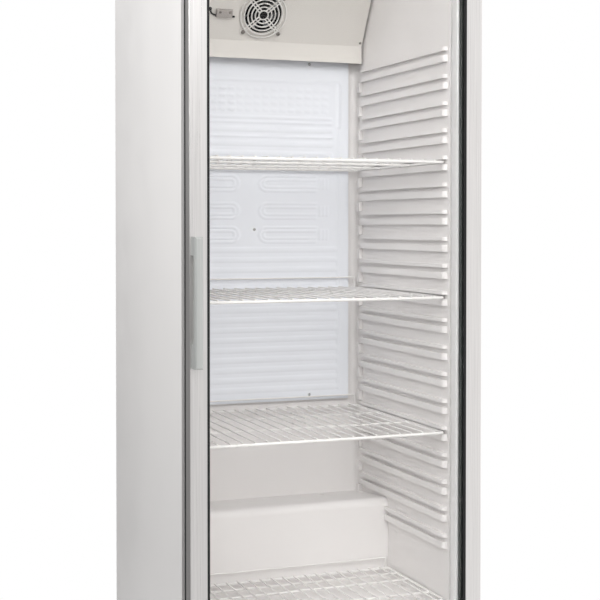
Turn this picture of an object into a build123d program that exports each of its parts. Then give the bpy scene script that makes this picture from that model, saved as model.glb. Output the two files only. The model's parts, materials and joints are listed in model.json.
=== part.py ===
from build123d import *
import os
from math import atan, cos, radians, sin, sqrt, tan

# Reach-in refrigerator with a glass door, in millimetres.
# +Z is up, the door faces -Y, and the origin is on the floor under the middle
# of the whole outline, handle included.

# ---- overall sizes ----
WIDTH = 600.0
BODY_DEPTH = 585.0          # front of the door to the back panel
HEIGHT = 1850.0
HANDLE_REACH = 25.0
FOOT_HEIGHT = 40.0

# ---- cabinet ----
SHEET = 1.0                 # painted steel
PAN_SHEET = 2.0             # galvanised base pan
LINER = 2.0                 # moulded inner lining
SIDE_WALL = 45.0            # outside face to the face of the lining
BACK_WALL = 64.0
TOP_WALL = 160.0
FLOOR_HEIGHT = 225.0        # floor of the storage space
FLOOR_FOAM = 58.0
FRAME_BOTTOM = 118.0        # lower edge of the front frame
REAR_FLANGE = 11.0
CORNER_RADIUS = 12.0        # upright corners of the lining

# ---- machine room and the step over it ----
STEP_DEPTH = 178.0
STEP_HEIGHT = 171.0
STEP_FALL = 17.0            # the top of the step drains backwards
STEP_FOAM = 40.0
STEP_RADIUS = 16.0
GRILLE_INSET = 14.0

# ---- shelf supports moulded in the side walls ----
RIB_PITCH = 54.4
RIB_COUNT = 19
RIB_START = 122.2           # floor to the underside of the lowest rib
RIB_REACH = 9.0
RIB_HEIGHT = 13.0
RIB_GROOVE = 9.0
RIDGE_HEIGHT = 7.6
RIB_FRONT_INSET = 10.0      # front face of the cabinet to the rib ends
RIB_BACK_GAP = 44.0         # rear rib ends to the back of the lining
STOP_DEPTH = 14.0
STOP_BACK_GAP = 23.0
STOP_GAP = 1.5              # stop to the support above and below it
LEDGE_HEIGHT = 15.0         # support of the bottom shelf
DRAIN_RADIUS = 7.0

# ---- shelves ----
SHELF_RIBS = (14, 9, 4)     # which rib carries each upper shelf
SHELF_SIDE_GAP = 3.3
SHELF_FRONT_INSET = 10.0
SHELF_BACK_GAP = 22.0
FRAME_WIRE = 6.0
GRID_WIRE = 3.0
GRID_PITCH = 25.2
RAIL_HEIGHT = 25.0
SEAT_GAP = 0.3
SHELF_CORNER = 10.0
WELD = 0.4                  # how far crossing wires melt into each other

# ---- door ----
ALU_DEPTH = 23.0
BREAK_DEPTH = 9.0
SEAL_GAP = 20.0             # back of the door to the front of the cabinet
DOOR_BOTTOM = 155.0
DOOR_GAP = 5.0              # door to fascia
FASCIA_HEIGHT = 110.0
FACE_WIDTH = 34.0           # visible width of the aluminium
TUBE_WIDTH = 24.0
TUBE_WALL = 1.6
LIP = 2.0
EDGE_RADIUS = 2.0
PANE = 4.0
PANE_GAP = 11.0
BEAD_THICK = 1.5
BEAD_WIDTH = 5.0            # how far the glazing bead shows
GLASS_EDGE_GAP = 0.5
SPACER_WIDTH = 12.0
GASKET_INSET = 20.0
GASKET_WIDTH = 17.5
INNER_FRAME_LIP = 7.0
INNER_FRAME_RISE = 14.0
RUN_GAP = 0.3               # gap between parts of different bodies

# ---- hinge ----
PIVOT_INSET = 12.0          # hinge line to the side of the door
PIVOT_BACK = 13.0           # hinge line to the front of the door
PIN_RADIUS = 4.0
PIN_FIT = 0.05
PIN_LENGTH = 24.0
BUSH_RADIUS = 6.5
BRACKET = 3.0
BRACKET_WIDTH = 60.0
BRACKET_LEG = 28.0

# ---- handle ----
HANDLE_HEIGHT = 738.0       # lower end above the floor
HANDLE_LENGTH = 240.0
HANDLE_WIDTH = 16.0
HANDLE_INSET = 3.5
HANDLE_BAR = 9.0
HANDLE_POST_TOP = 34.0
HANDLE_POST_BOTTOM = 43.0

# ---- fan cover in the top of the storage space ----
COVER_SHEET = 1.2
COVER_END_GAP = 5.0
COVER_LIP_GAP = 41.0        # lip to the back of the lining
COVER_LIP_BOTTOM = 321.0    # lip to the ceiling
COVER_LIP_HEIGHT = 39.0
COVER_SLOPE = 0.554         # forward per unit of height
FAN_UP = 63.0               # fan centre above the lip, along the slope
FAN_OPENING = 85.0
FAN_SIZE = 92.0
FAN_DEPTH = 25.0
FAN_BORE = 88.0
FAN_HOLES = 82.5
FAN_HUB = 18.0
FAN_BLADES = 7
TIP_GAP = 1.5
GUARD_WIRE = 1.8
GUARD_RINGS = 7
GUARD_FIRST = 9.0           # radius of the disc in the middle
GUARD_PITCH = 6.4
SPOKE_GAP = 4.4             # between the two wires of a spoke
GUARD_HEIGHT = 4.0          # rings above the sloped panel
SCREW_RADIUS = 1.6
SCREW_FIT = 0.1
SCREW_HEAD = 3.4
SCREW_HEAD_HEIGHT = 2.2

# ---- temperature probe, measured from the fan centre on the sloped panel ----
BRACKET_BOX = (38.0, 18.5, 8.0)
BRACKET_PLACE = (-90.0, -1.25)
PROBE_RADIUS = 2.5
PROBE_TIP = 4.5             # tip beyond the bracket
LEAD_RADIUS = 1.8
GROMMET_RADIUS = 4.8

# ---- evaporator plate ----
PLATE_WIDTH = 460.0
PLATE_BOTTOM = 373.0        # above the floor of the storage space
PLATE_TOP_GAP = 180.0       # below the ceiling
PLATE = 1.5
PLATE_STANDOFF = 9.5        # back of the plate to the lining
CHANNEL_RADIUS = 3.0
CHANNEL_PITCH = 40.0
STANDOFF_RADIUS = 7.0
STANDOFF_SPREAD = 133.0

# ---- refrigeration circuit ----
PIPE_RADIUS = 4.0
PIPE_CHANNEL_GAP = 1.5
COMPRESSOR_SIZE = (170.0, 136.0, 172.0)
COMPRESSOR_SIDE = 142.0     # centre to the side panel
CONDENSER_SIZE = (220.0, 50.0, 220.0)
CONDENSER_SIDE = 42.0
FIN_PITCH = 10.0
FIN = 0.6
CONDENSER_FAN = 74.0        # blade tip radius
RUBBER_HEIGHT = 15.0

# ---- fascia, controller and lock ----
FASCIA_SHEET = 1.5
BEZEL = (78.0, 36.0, 3.0)
CONTROLLER_BODY = (70.0, 28.0, 40.0)
KEY = (9.0, 7.0)
KEY_GAP = 0.3
KEY_TRAVEL = 1.0
KEY_PROUD = 1.5
LOCK_RADIUS = 8.0
LOCK_INSET = 46.0
TONGUE = (5.0, 6.0, 1.5)     # behind the axis, half height, half thickness
TONGUE_DROP = 9.0           # how far the turned tongue reaches into the door
TONGUE_GAP = 1.5
LOCK_SLOT_DEPTH = 14.0

# ---- lamp on the ceiling ----
LAMP = (400.0, 26.0, 12.0)
LAMP_INSET = 24.0

# ---- feet ----
STUD_RADIUS = 5.0
FOOT_RADIUS = 20.0
FOOT_INSET = 45.0

# ---- lines and planes that follow ----
X_OUT = WIDTH / 2
Y_DOOR = HANDLE_REACH - (BODY_DEPTH + HANDLE_REACH) / 2
DOOR_THICK = ALU_DEPTH + BREAK_DEPTH
Y_CAB = Y_DOOR + DOOR_THICK + SEAL_GAP
Y_REAR = Y_DOOR + BODY_DEPTH
X_LINER = X_OUT - SIDE_WALL
Y_LINER = Y_REAR - BACK_WALL
Z_FLOOR = FLOOR_HEIGHT
Z_CEILING = HEIGHT - TOP_WALL
Z_PAN = FOOT_HEIGHT + PAN_SHEET
DOOR_TOP = HEIGHT - FASCIA_HEIGHT - DOOR_GAP
Y_STEP = Y_LINER - STEP_DEPTH
Z_STEP = Z_FLOOR + STEP_HEIGHT
Z_STEP_BACK = Z_STEP - STEP_FALL
Z_ROOF = Z_STEP_BACK - LINER - STEP_FOAM
Y_ROOM = Y_STEP + LINER + STEP_FOAM
Z_FOAM = Z_FLOOR - LINER - FLOOR_FOAM
Y_GRILLE = Y_REAR - GRILLE_INSET
PIVOT_X = X_OUT - PIVOT_INSET
PIVOT_Y = Y_DOOR + PIVOT_BACK
Z_RIB = Z_FLOOR + RIB_START
PAIR_HEIGHT = RIB_HEIGHT + RIB_GROOVE + RIDGE_HEIGHT
Y_LIP = Y_LINER - COVER_LIP_GAP
Z_LIP = Z_CEILING - COVER_LIP_BOTTOM
Z_FOLD = Z_LIP + COVER_LIP_HEIGHT
X_COVER = X_LINER - COVER_END_GAP
SLOPE_LENGTH = sqrt(1 + COVER_SLOPE ** 2)
SLOPE_OUT = Vector(0, -1 / SLOPE_LENGTH, -COVER_SLOPE / SLOPE_LENGTH)
FAN_CENTRE = Vector(0, Y_LIP - COVER_SLOPE * FAN_UP / SLOPE_LENGTH, Z_FOLD + FAN_UP / SLOPE_LENGTH)
FAN_PLANE = Plane(origin=FAN_CENTRE, x_dir=(1, 0, 0), z_dir=SLOPE_OUT)
SCREW_HOLE = SCREW_RADIUS + SCREW_FIT


# ---- shapes that repeat ----

def block(x0, x1, y0, y1, z0, z1):
    """A box between two opposite corners."""
    return Pos(x0, y0, z0) * Box(x1 - x0, y1 - y0, z1 - z0, align=(Align.MIN,) * 3)


def rod(start, end, radius):
    """A round bar from one point to another."""
    start = Vector(*start)
    along = Vector(*end) - start
    return Solid.make_cylinder(radius, along.length, Plane(origin=start, z_dir=along))


def prism(points, direction, length):
    """A flat outline of 3-D points pushed along a direction."""
    outline = make_face(Polyline(*points, close=True))
    return extrude(outline, amount=length, dir=direction)


def tube_path(points, bend, radius, close=False):
    """A round bar bent along a route."""
    route = FilletPolyline(*points, radius=bend, close=close)
    return sweep(Plane(origin=route @ 0, z_dir=route % 0) * Circle(radius), path=route)


def frame_ring(x_out, z_low, z_high, width, y0, y1):
    """A flat rectangular ring that faces the front."""
    outer = block(-x_out, x_out, y0, y1, z_low, z_high)
    inner = block(-x_out + width, x_out - width, y0 - 1, y1 + 1, z_low + width, z_high - width)
    return outer - inner


def mirrored(shape):
    """The same shape on the other side of the middle plane."""
    return mirror(shape, about=Plane.YZ)


# ---- cabinet ----

def storage_space(grow):
    """The space inside the lining, or that space grown by the lining's thickness."""
    y_step = Y_STEP + grow
    y_back = Y_LINER + grow
    z_floor = Z_FLOOR - grow
    z_ceiling = Z_CEILING + grow
    x_side = X_LINER + grow
    front = Y_CAB if grow else Y_CAB - 1
    outline = [
        (-x_side, front, z_floor),
        (-x_side, y_step, z_floor),
        (-x_side, y_step, Z_STEP - grow),
        (-x_side, y_back, Z_STEP_BACK - grow),
        (-x_side, y_back, z_ceiling),
        (-x_side, front, z_ceiling),
    ]
    space = prism(outline, (1, 0, 0), 2 * x_side)
    nose = [edge for edge in space.edges().filter_by(Axis.X) if abs(edge.center().Z - Z_STEP + grow) < 0.1]
    return fillet(nose, STEP_RADIUS - grow)


def rounded_storage_space():
    """The space inside the lining with its soft moulded corners."""
    space = storage_space(0)
    upright = space.edges().filter_by(Axis.Z).sort_by(Axis.Y)[-2:]
    return fillet(upright, CORNER_RADIUS)


def side_rib(height, z_low):
    """One shelf support on the right wall, its front end rounded off."""
    y_front = Y_CAB + RIB_FRONT_INSET
    x_face = X_LINER - RIB_REACH
    rib = block(x_face, X_LINER + LINER / 2, y_front, Y_LINER - RIB_BACK_GAP, z_low, z_low + height)
    corner = rib.edges().filter_by(Axis.Z).sort_by(lambda e: e.center().X + e.center().Y)[0]
    rib = fillet(corner, RIB_REACH * 0.95)
    back = rib.edges().filter_by(Axis.Z).sort_by(lambda e: e.center().Y - e.center().X)[-1]
    return fillet(back, RIB_REACH * 0.3)


def rib_set():
    """All supports and rear stops on the right wall, cut short where the step begins."""
    pieces = []
    outer = storage_space(LINER)
    stop_front = Y_LINER - STOP_BACK_GAP - STOP_DEPTH
    for index in range(RIB_COUNT):
        z_low = Z_RIB + index * RIB_PITCH
        pieces.append(side_rib(RIB_HEIGHT, z_low))
        pieces.append(side_rib(RIDGE_HEIGHT, z_low + RIB_HEIGHT + RIB_GROOVE))
        if index == RIB_COUNT - 1:
            continue
        pieces.append(block(
            X_LINER - RIB_REACH, X_LINER + LINER / 2, stop_front, stop_front + STOP_DEPTH,
            z_low + PAIR_HEIGHT + STOP_GAP, z_low + RIB_PITCH - STOP_GAP,
        ))
    pieces.append(block(
        X_LINER - RIB_REACH, X_LINER + LINER / 2,
        Y_CAB + RIB_FRONT_INSET, Y_STEP + LINER / 2, Z_FLOOR - LINER / 2, Z_FLOOR + LEDGE_HEIGHT,
    ))
    low = [piece & outer for piece in pieces if piece.bounding_box().min.Z < Z_STEP]
    high = [piece for piece in pieces if piece.bounding_box().min.Z >= Z_STEP]
    return low + high


def inner_liner():
    shell = storage_space(LINER) - rounded_storage_space()
    right = rib_set()
    left = [mirrored(piece) for piece in right]
    liner = shell + right + left
    liner -= suction_route(PIPE_RADIUS + PIPE_CHANNEL_GAP)
    return liner - drain_bore(DRAIN_RADIUS)


def foam_insulation():
    outline = [
        (-X_OUT + SHEET, Y_CAB + SHEET, Z_FOAM),
        (-X_OUT + SHEET, Y_ROOM, Z_FOAM),
        (-X_OUT + SHEET, Y_ROOM, Z_ROOF),
        (-X_OUT + SHEET, Y_REAR - SHEET, Z_ROOF),
        (-X_OUT + SHEET, Y_REAR - SHEET, HEIGHT - SHEET),
        (-X_OUT + SHEET, Y_CAB + SHEET, HEIGHT - SHEET),
    ]
    foam = prism(outline, (1, 0, 0), WIDTH - 2 * SHEET) - storage_space(LINER)
    foam -= suction_route(PIPE_RADIUS + PIPE_CHANNEL_GAP)
    return foam - drain_bore(DRAIN_RADIUS)


def side_panel():
    """Right side panel with its rear return."""
    skin = block(X_OUT - SHEET, X_OUT, Y_CAB, Y_REAR, FOOT_HEIGHT, HEIGHT)
    flange = block(X_OUT - REAR_FLANGE, X_OUT, Y_REAR - SHEET, Y_REAR, Z_ROOF, HEIGHT)
    return skin + flange


def top_panel():
    return block(-X_OUT + SHEET, X_OUT - SHEET, Y_CAB, Y_REAR - SHEET, HEIGHT - SHEET, HEIGHT)


def back_panel():
    x_half = X_OUT - REAR_FLANGE
    return block(-x_half, x_half, Y_REAR - SHEET, Y_REAR, Z_ROOF, HEIGHT)


def front_frame():
    x_out = X_OUT - SHEET
    face = block(-x_out, x_out, Y_CAB, Y_CAB + SHEET, FRAME_BOTTOM, HEIGHT - SHEET)
    face -= storage_space(LINER)
    lower = block(-x_out, x_out, Y_CAB + SHEET, Y_CAB + 3 * SHEET, FRAME_BOTTOM, Z_FOAM)
    return face + lower


def base_pan():
    x_out = X_OUT - SHEET
    y0 = Y_CAB + 2 * SHEET
    y1 = Y_REAR - SHEET
    rim = 22.0
    pan = block(-x_out, x_out, y0, y1, FOOT_HEIGHT, FOOT_HEIGHT + rim)
    pan -= block(-x_out + PAN_SHEET, x_out - PAN_SHEET, y0 + PAN_SHEET, y1 - PAN_SHEET, Z_PAN, HEIGHT)
    for x, y in foot_places():
        pan += rod((x, y, Z_PAN), (x, y, Z_PAN + 12), STUD_RADIUS + 5)
        pan -= rod((x, y, FOOT_HEIGHT - 1), (x, y, Z_PAN + 13), STUD_RADIUS + PIN_FIT)
    for x, y in compressor_feet():
        pan += rod((x, y, Z_PAN), (x, y, Z_PAN + RUBBER_HEIGHT + 6), 4.0)
    return pan


def kick_plate():
    x_half = X_OUT - SHEET
    plate = block(-x_half, x_half, Y_CAB, Y_CAB + 2 * SHEET, FOOT_HEIGHT, FRAME_BOTTOM)
    rows = 5
    slot_height = 5.0
    row_pitch = (FRAME_BOTTOM - FOOT_HEIGHT - 18) / (rows - 1)
    columns = 4
    column_pitch = (WIDTH - 60) / columns
    for row in range(rows):
        z = FOOT_HEIGHT + 9 + row * row_pitch
        for column in range(columns):
            x = -X_OUT + 30 + column * column_pitch
            plate -= block(
                x + 10, x + column_pitch - 10, Y_CAB - 1, Y_CAB + 3 * SHEET,
                z - slot_height / 2, z + slot_height / 2,
            )
    return plate


def rear_grille():
    x_half = X_OUT - SHEET - PAN_SHEET
    panel = block(-x_half, x_half, Y_GRILLE - SHEET, Y_GRILLE, Z_PAN, Z_ROOF)
    rows = 11
    row_pitch = (Z_ROOF - Z_PAN - 90) / (rows - 1)
    columns = 3
    column_pitch = (WIDTH - 60) / columns
    for row in range(rows):
        z = Z_PAN + 60 + row * row_pitch
        for column in range(columns):
            x = -X_OUT + 30 + column * column_pitch
            panel -= block(x + 14, x + column_pitch - 14, Y_GRILLE - 5, Y_GRILLE + 5, z - 4, z + 4)
    x, z = gland_place()
    return panel - rod((x, Y_GRILLE - 5, z), (x, Y_GRILLE + 5, z), 8.0)


def gland_place():
    return -X_OUT + 60, Z_PAN + 28


def cable_gland():
    """Bush where the mains lead comes through the rear grille."""
    x, z = gland_place()
    body = rod((x, Y_GRILLE - 9, z), (x, Y_GRILLE, z), 8.0)
    body += rod((x, Y_GRILLE, z), (x, Y_GRILLE + 4, z), 11.0)
    body += rod((x, Y_GRILLE - 13, z), (x, Y_GRILLE - SHEET, z), 11.0)
    return body - rod((x, Y_GRILLE - 20, z), (x, Y_GRILLE + 10, z), 4.0)


def drain_place():
    return X_OUT - COMPRESSOR_SIDE, Y_LINER - 26.0


def drain_bore(radius):
    x, y = drain_place()
    return rod((x, y, Z_ROOF - 60), (x, y, Z_STEP + 5), radius)


def drain_tube():
    """Short tube that carries melt water from the step to the tray."""
    x, y = drain_place()
    y_share = (y - Y_STEP) / STEP_DEPTH
    top = Z_STEP - STEP_FALL * y_share - 2.0
    tube = rod((x, y, Z_ROOF - 30), (x, y, top), DRAIN_RADIUS)
    return tube - rod((x, y, Z_ROOF - 31), (x, y, top + 1), DRAIN_RADIUS - 1.5)


# ---- shelves ----

def wire_shelf(z_seat, y_back, cross_shares, rail_height):
    """A welded wire shelf: a round frame, cross wires, a fine grid and a back rail."""
    thick = FRAME_WIRE / 2
    fine = GRID_WIRE / 2
    z = z_seat + SEAT_GAP + thick
    x_half = X_LINER - SHELF_SIDE_GAP - thick
    y_front = Y_CAB + SHELF_FRONT_INSET
    corners = [(-x_half, y_front, z), (x_half, y_front, z), (x_half, y_back, z), (-x_half, y_back, z)]
    wires = [tube_path(corners, SHELF_CORNER, thick, close=True)]
    for share in cross_shares:
        y = y_front + share * (y_back - y_front)
        wires.append(rod((-x_half, y, z), (x_half, y, z), thick * 0.8))
    z_grid = z + thick + fine - WELD
    y_rail = y_back + thick + fine - WELD
    z_rail = z + rail_height
    count = int((2 * x_half - 2 * SHELF_CORNER) / GRID_PITCH)
    for index in range(count + 1):
        x = (index - count / 2) * GRID_PITCH
        wires.append(rod((x, y_front - fine / 2, z_grid), (x, y_back + fine / 2, z_grid), fine))
    x_rail = x_half - SHELF_CORNER
    rail = [
        (-x_rail, y_rail, z - fine), (-x_rail, y_rail, z_rail),
        (x_rail, y_rail, z_rail), (x_rail, y_rail, z - fine),
    ]
    wires.append(tube_path(rail, 2 * GRID_WIRE, fine))
    return wires[0] + wires[1:]


def upper_shelf(rib_index):
    z_seat = Z_RIB + rib_index * RIB_PITCH + RIB_HEIGHT
    return wire_shelf(z_seat, Y_LINER - SHELF_BACK_GAP, (0.36, 0.71), RAIL_HEIGHT)


def bottom_shelf():
    return wire_shelf(Z_FLOOR + LEDGE_HEIGHT, Y_STEP - 16.0, (0.24, 0.63, 0.83), RAIL_HEIGHT - 2)


# ---- door ----

def door_ring(inset, width, y0, y1):
    """A rectangular ring set in from the edge of the door."""
    return frame_ring(X_OUT - inset, DOOR_BOTTOM + inset, DOOR_TOP - inset, width, y0, y1)


def aluminium_ring():
    """Hollow aluminium section all round the door, before it is cut at the mitres."""
    y_back = Y_DOOR + ALU_DEPTH
    body = block(-X_OUT, X_OUT, Y_DOOR, y_back, DOOR_BOTTOM, DOOR_TOP)
    front_edges = body.faces().sort_by(Axis.Y)[0].edges()
    body = fillet(front_edges, EDGE_RADIUS)
    body -= block(
        -X_OUT + FACE_WIDTH, X_OUT - FACE_WIDTH, Y_DOOR - 1, y_back + 1,
        DOOR_BOTTOM + FACE_WIDTH, DOOR_TOP - FACE_WIDTH,
    )
    body -= block(
        -X_OUT + TUBE_WIDTH, X_OUT - TUBE_WIDTH, Y_DOOR + LIP, y_back + 1,
        DOOR_BOTTOM + TUBE_WIDTH, DOOR_TOP - TUBE_WIDTH,
    )
    hollow = TUBE_WIDTH - 2 * TUBE_WALL
    body -= door_ring(TUBE_WALL, hollow, Y_DOOR + TUBE_WALL, y_back - TUBE_WALL)
    body -= rod((PIVOT_X, PIVOT_Y, DOOR_BOTTOM - 1), (PIVOT_X, PIVOT_Y, DOOR_TOP + 1), BUSH_RADIUS)
    return body - tongue_slot(DOOR_TOP, DOOR_TOP - LOCK_SLOT_DEPTH, DOOR_TOP + 1)


def lock_place():
    """Centre of the lock barrel on the fascia, as x and z."""
    return -X_OUT + LOCK_INSET, HEIGHT - FASCIA_HEIGHT + LOCK_RADIUS + 10


def lock_tongue_y():
    return Y_DOOR + ALU_DEPTH / 2


def tongue_reach():
    """Length of the lock tongue from the axis of the barrel."""
    return lock_place()[1] - DOOR_TOP + TONGUE_DROP


def tongue_slot(z_sheet, z0, z1):
    """Slot that clears the tongue's swing down through a sheet with its top at z_sheet."""
    x, z = lock_place()
    y = lock_tongue_y()
    corner = sqrt(tongue_reach() ** 2 + TONGUE[1] ** 2)
    sweep = sqrt(corner ** 2 - (z - z_sheet) ** 2)
    half = 2 * TONGUE[2]
    return block(x - TONGUE[1] - 2 * TONGUE_GAP, x + sweep + TONGUE_GAP, y - half, y + half, z0, z1)


def mitred(ring, side):
    """One side of a door ring, cut at 45 degrees at both ends."""
    mid = X_OUT
    low = DOOR_BOTTOM
    high = DOOR_TOP
    outlines = {
        "left": [(-X_OUT, low), (-X_OUT, high), (0, high - mid), (0, low + mid)],
        "right": [(X_OUT, low), (X_OUT, high), (0, high - mid), (0, low + mid)],
        "top": [(-X_OUT, high), (X_OUT, high), (0, high - mid)],
        "bottom": [(-X_OUT, low), (X_OUT, low), (0, low + mid)],
    }
    points = [(x, Y_DOOR - 5, z) for x, z in outlines[side]]
    return ring & prism(points, (0, 1, 0), DOOR_THICK + 10)


def thermal_break():
    width = SIDE_WALL - INNER_FRAME_LIP
    return door_ring(0, width, Y_DOOR + ALU_DEPTH, Y_DOOR + DOOR_THICK)


def inner_frame():
    """White moulding that carries the seal and holds the glass from behind."""
    inset = SIDE_WALL - INNER_FRAME_LIP
    y_break = Y_DOOR + DOOR_THICK
    return door_ring(inset, INNER_FRAME_LIP, Y_DOOR + ALU_DEPTH, y_break + INNER_FRAME_RISE)


def door_gasket():
    """Magnetic seal: a foot fixed to the door and a soft bellows in front of it."""
    y_break = Y_DOOR + DOOR_THICK
    foot = door_ring(GASKET_INSET + 3, GASKET_WIDTH - 3, y_break, y_break + 7)
    bellows = door_ring(GASKET_INSET, GASKET_WIDTH, y_break + 7, Y_CAB - RUN_GAP)
    return foot + bellows


def glass_planes():
    """Front of the outer pane, and front of the inner pane."""
    y_outer = Y_DOOR + LIP + BEAD_THICK
    return y_outer, y_outer + PANE + PANE_GAP


def glass_pane(y_front):
    inset = TUBE_WIDTH + GLASS_EDGE_GAP
    x_half = X_OUT - inset
    return block(-x_half, x_half, y_front, y_front + PANE, DOOR_BOTTOM + inset, DOOR_TOP - inset)


def glass_spacer():
    """Dark spacer bar that holds the two panes apart, with a second seal outside it."""
    outer, inner = glass_planes()
    inset = FACE_WIDTH + BEAD_WIDTH + 2 - SPACER_WIDTH
    return door_ring(inset, SPACER_WIDTH, outer + PANE, inner)


def glazing_bead():
    """Black rubber strip between the aluminium lip and the outer pane."""
    y0 = Y_DOOR + LIP
    strip = door_ring(TUBE_WIDTH + GLASS_EDGE_GAP, FACE_WIDTH + BEAD_WIDTH - TUBE_WIDTH - GLASS_EDGE_GAP,
                      y0, y0 + BEAD_THICK)
    nose = door_ring(FACE_WIDTH, BEAD_WIDTH, y0 - 1.2, y0)
    return strip + nose


def door_handle():
    x0 = -X_OUT + HANDLE_INSET
    x1 = x0 + HANDLE_WIDTH
    y0 = Y_DOOR - HANDLE_REACH
    z0 = HANDLE_HEIGHT
    z1 = z0 + HANDLE_LENGTH
    bar = block(x0, x1, y0, Y_DOOR, z0, z1)
    gap = block(
        x0 - 1, x1 + 1, y0 + HANDLE_BAR, Y_DOOR + 1,
        z0 + HANDLE_POST_BOTTOM, z1 - HANDLE_POST_TOP,
    )
    gap = fillet(gap.edges().filter_by(Axis.X).sort_by(Axis.Y)[:2], HANDLE_BAR * 0.8)
    bar = fillet(bar.faces().sort_by(Axis.Y)[0].edges(), HANDLE_BAR * 0.4)
    return bar - gap


def hinge_bush(z_open, z_closed):
    """Nylon bush in one end of the door, open towards the hinge pin."""
    bush = rod((PIVOT_X, PIVOT_Y, z_open), (PIVOT_X, PIVOT_Y, z_closed), BUSH_RADIUS)
    depth = (z_closed - z_open) * PIN_LENGTH / abs(z_closed - z_open)
    hole = rod(
        (PIVOT_X, PIVOT_Y, z_open - depth * 0.1), (PIVOT_X, PIVOT_Y, z_open + depth),
        PIN_RADIUS + PIN_FIT,
    )
    return bush - hole


def hinge_bracket(z_plate, leg_down):
    """Cabinet half of one hinge: a leg on the cabinet and a plate that carries the pin."""
    x1 = X_OUT - 3.0
    x0 = x1 - BRACKET_WIDTH
    plate = block(x0, x1, PIVOT_Y - PIN_RADIUS - 4, Y_CAB, z_plate, z_plate + BRACKET)
    leg_low = z_plate - BRACKET_LEG if leg_down else z_plate
    leg = block(x0, x1, Y_CAB - BRACKET, Y_CAB, leg_low, leg_low + BRACKET + BRACKET_LEG)
    if leg_down:
        root = z_plate
        tip = z_plate + BRACKET + PIN_LENGTH - 2
    else:
        root = z_plate + BRACKET
        tip = z_plate - PIN_LENGTH + 2
    return plate + leg + rod((PIVOT_X, PIVOT_Y, root), (PIVOT_X, PIVOT_Y, tip), PIN_RADIUS)


# ---- fascia, controller and lock ----

def key_places():
    z = HEIGHT - FASCIA_HEIGHT / 2
    return [(x, z) for x in (7.5, 18.0, 28.5)]


def control_fascia():
    z0 = HEIGHT - FASCIA_HEIGHT
    outer = block(-X_OUT, X_OUT, Y_DOOR, Y_CAB, z0, HEIGHT)
    outer = fillet(outer.faces().sort_by(Axis.Y)[0].edges(), EDGE_RADIUS)
    wall = FASCIA_SHEET
    outer -= block(-X_OUT + wall, X_OUT - wall, Y_DOOR + wall, Y_CAB + 1, z0 + wall, HEIGHT - wall)
    width, height = CONTROLLER_BODY[:2]
    z = z0 + FASCIA_HEIGHT / 2
    outer -= block(-width / 2, width / 2, Y_DOOR - 1, Y_DOOR + 5, z - height / 2, z + height / 2)
    x_lock, z_lock = lock_place()
    outer -= rod((x_lock, Y_DOOR - 1, z_lock), (x_lock, Y_DOOR + 5, z_lock), LOCK_RADIUS + 3)
    outer -= tongue_slot(z0 + wall, z0 - 1, z0 + 5)
    x_leg = X_OUT - 3.0
    outer -= block(x_leg - BRACKET_WIDTH - 1, x_leg + 1, Y_CAB - BRACKET - 1, Y_CAB + 1, z0 - 1, z0 + 5)
    return outer


def controller_body():
    width, height, depth = CONTROLLER_BODY
    bezel_w, bezel_h, bezel_t = BEZEL
    z = HEIGHT - FASCIA_HEIGHT / 2
    body = block(-width / 2, width / 2, Y_DOOR, Y_DOOR + depth, z - height / 2, z + height / 2)
    bezel = block(-bezel_w / 2, bezel_w / 2, Y_DOOR - bezel_t, Y_DOOR, z - bezel_h / 2, z + bezel_h / 2)
    body += fillet(bezel.faces().sort_by(Axis.Y)[0].edges(), 1.0)
    for x, z_key in key_places():
        half_w = KEY[0] / 2 + KEY_GAP
        half_h = KEY[1] / 2 + KEY_GAP
        body -= block(
            x - half_w, x + half_w, Y_DOOR - bezel_t - 1, Y_DOOR + KEY_TRAVEL + 4,
            z_key - half_h, z_key + half_h,
        )
    return body - display_pocket()


def display_pocket():
    y_face = Y_DOOR - BEZEL[2]
    z = HEIGHT - FASCIA_HEIGHT / 2
    return block(-34.0, 0.0, y_face - 1, y_face + 1.5, z - 11, z + 11)


def controller_key(place):
    x, z = place
    y_face = Y_DOOR - BEZEL[2] - KEY_PROUD
    back = Y_DOOR + 4 - KEY_GAP
    cap = block(x - KEY[0] / 2, x + KEY[0] / 2, y_face, back, z - KEY[1] / 2, z + KEY[1] / 2)
    return fillet(cap.faces().sort_by(Axis.Y)[0].edges(), 0.6)


def lock_sleeve():
    """Fixed sleeve of the door lock, in the fascia."""
    x, z = lock_place()
    sleeve = rod((x, Y_DOOR, z), (x, lock_tongue_y() - 3, z), LOCK_RADIUS + 3)
    sleeve += rod((x, Y_DOOR - 2, z), (x, Y_DOOR, z), LOCK_RADIUS + 5)
    return sleeve - rod((x, Y_DOOR - 3, z), (x, Y_DOOR + 40, z), LOCK_RADIUS + PIN_FIT)


def lock_barrel():
    """Barrel that the key turns, with the tongue that drops into the door."""
    x, z = lock_place()
    y_face = Y_DOOR - 3
    y = lock_tongue_y()
    back, half, thin = TONGUE
    barrel = rod((x, y_face, z), (x, y - thin, z), LOCK_RADIUS)
    barrel -= block(x - 0.8, x + 0.8, y_face - 1, y_face + 6, z - 4, z + 4)
    return barrel + block(x - back, x + tongue_reach(), y - thin, y + thin, z - half, z + half)


# ---- air side: fan cover, fan, guard, probe and lamp ----

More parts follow.
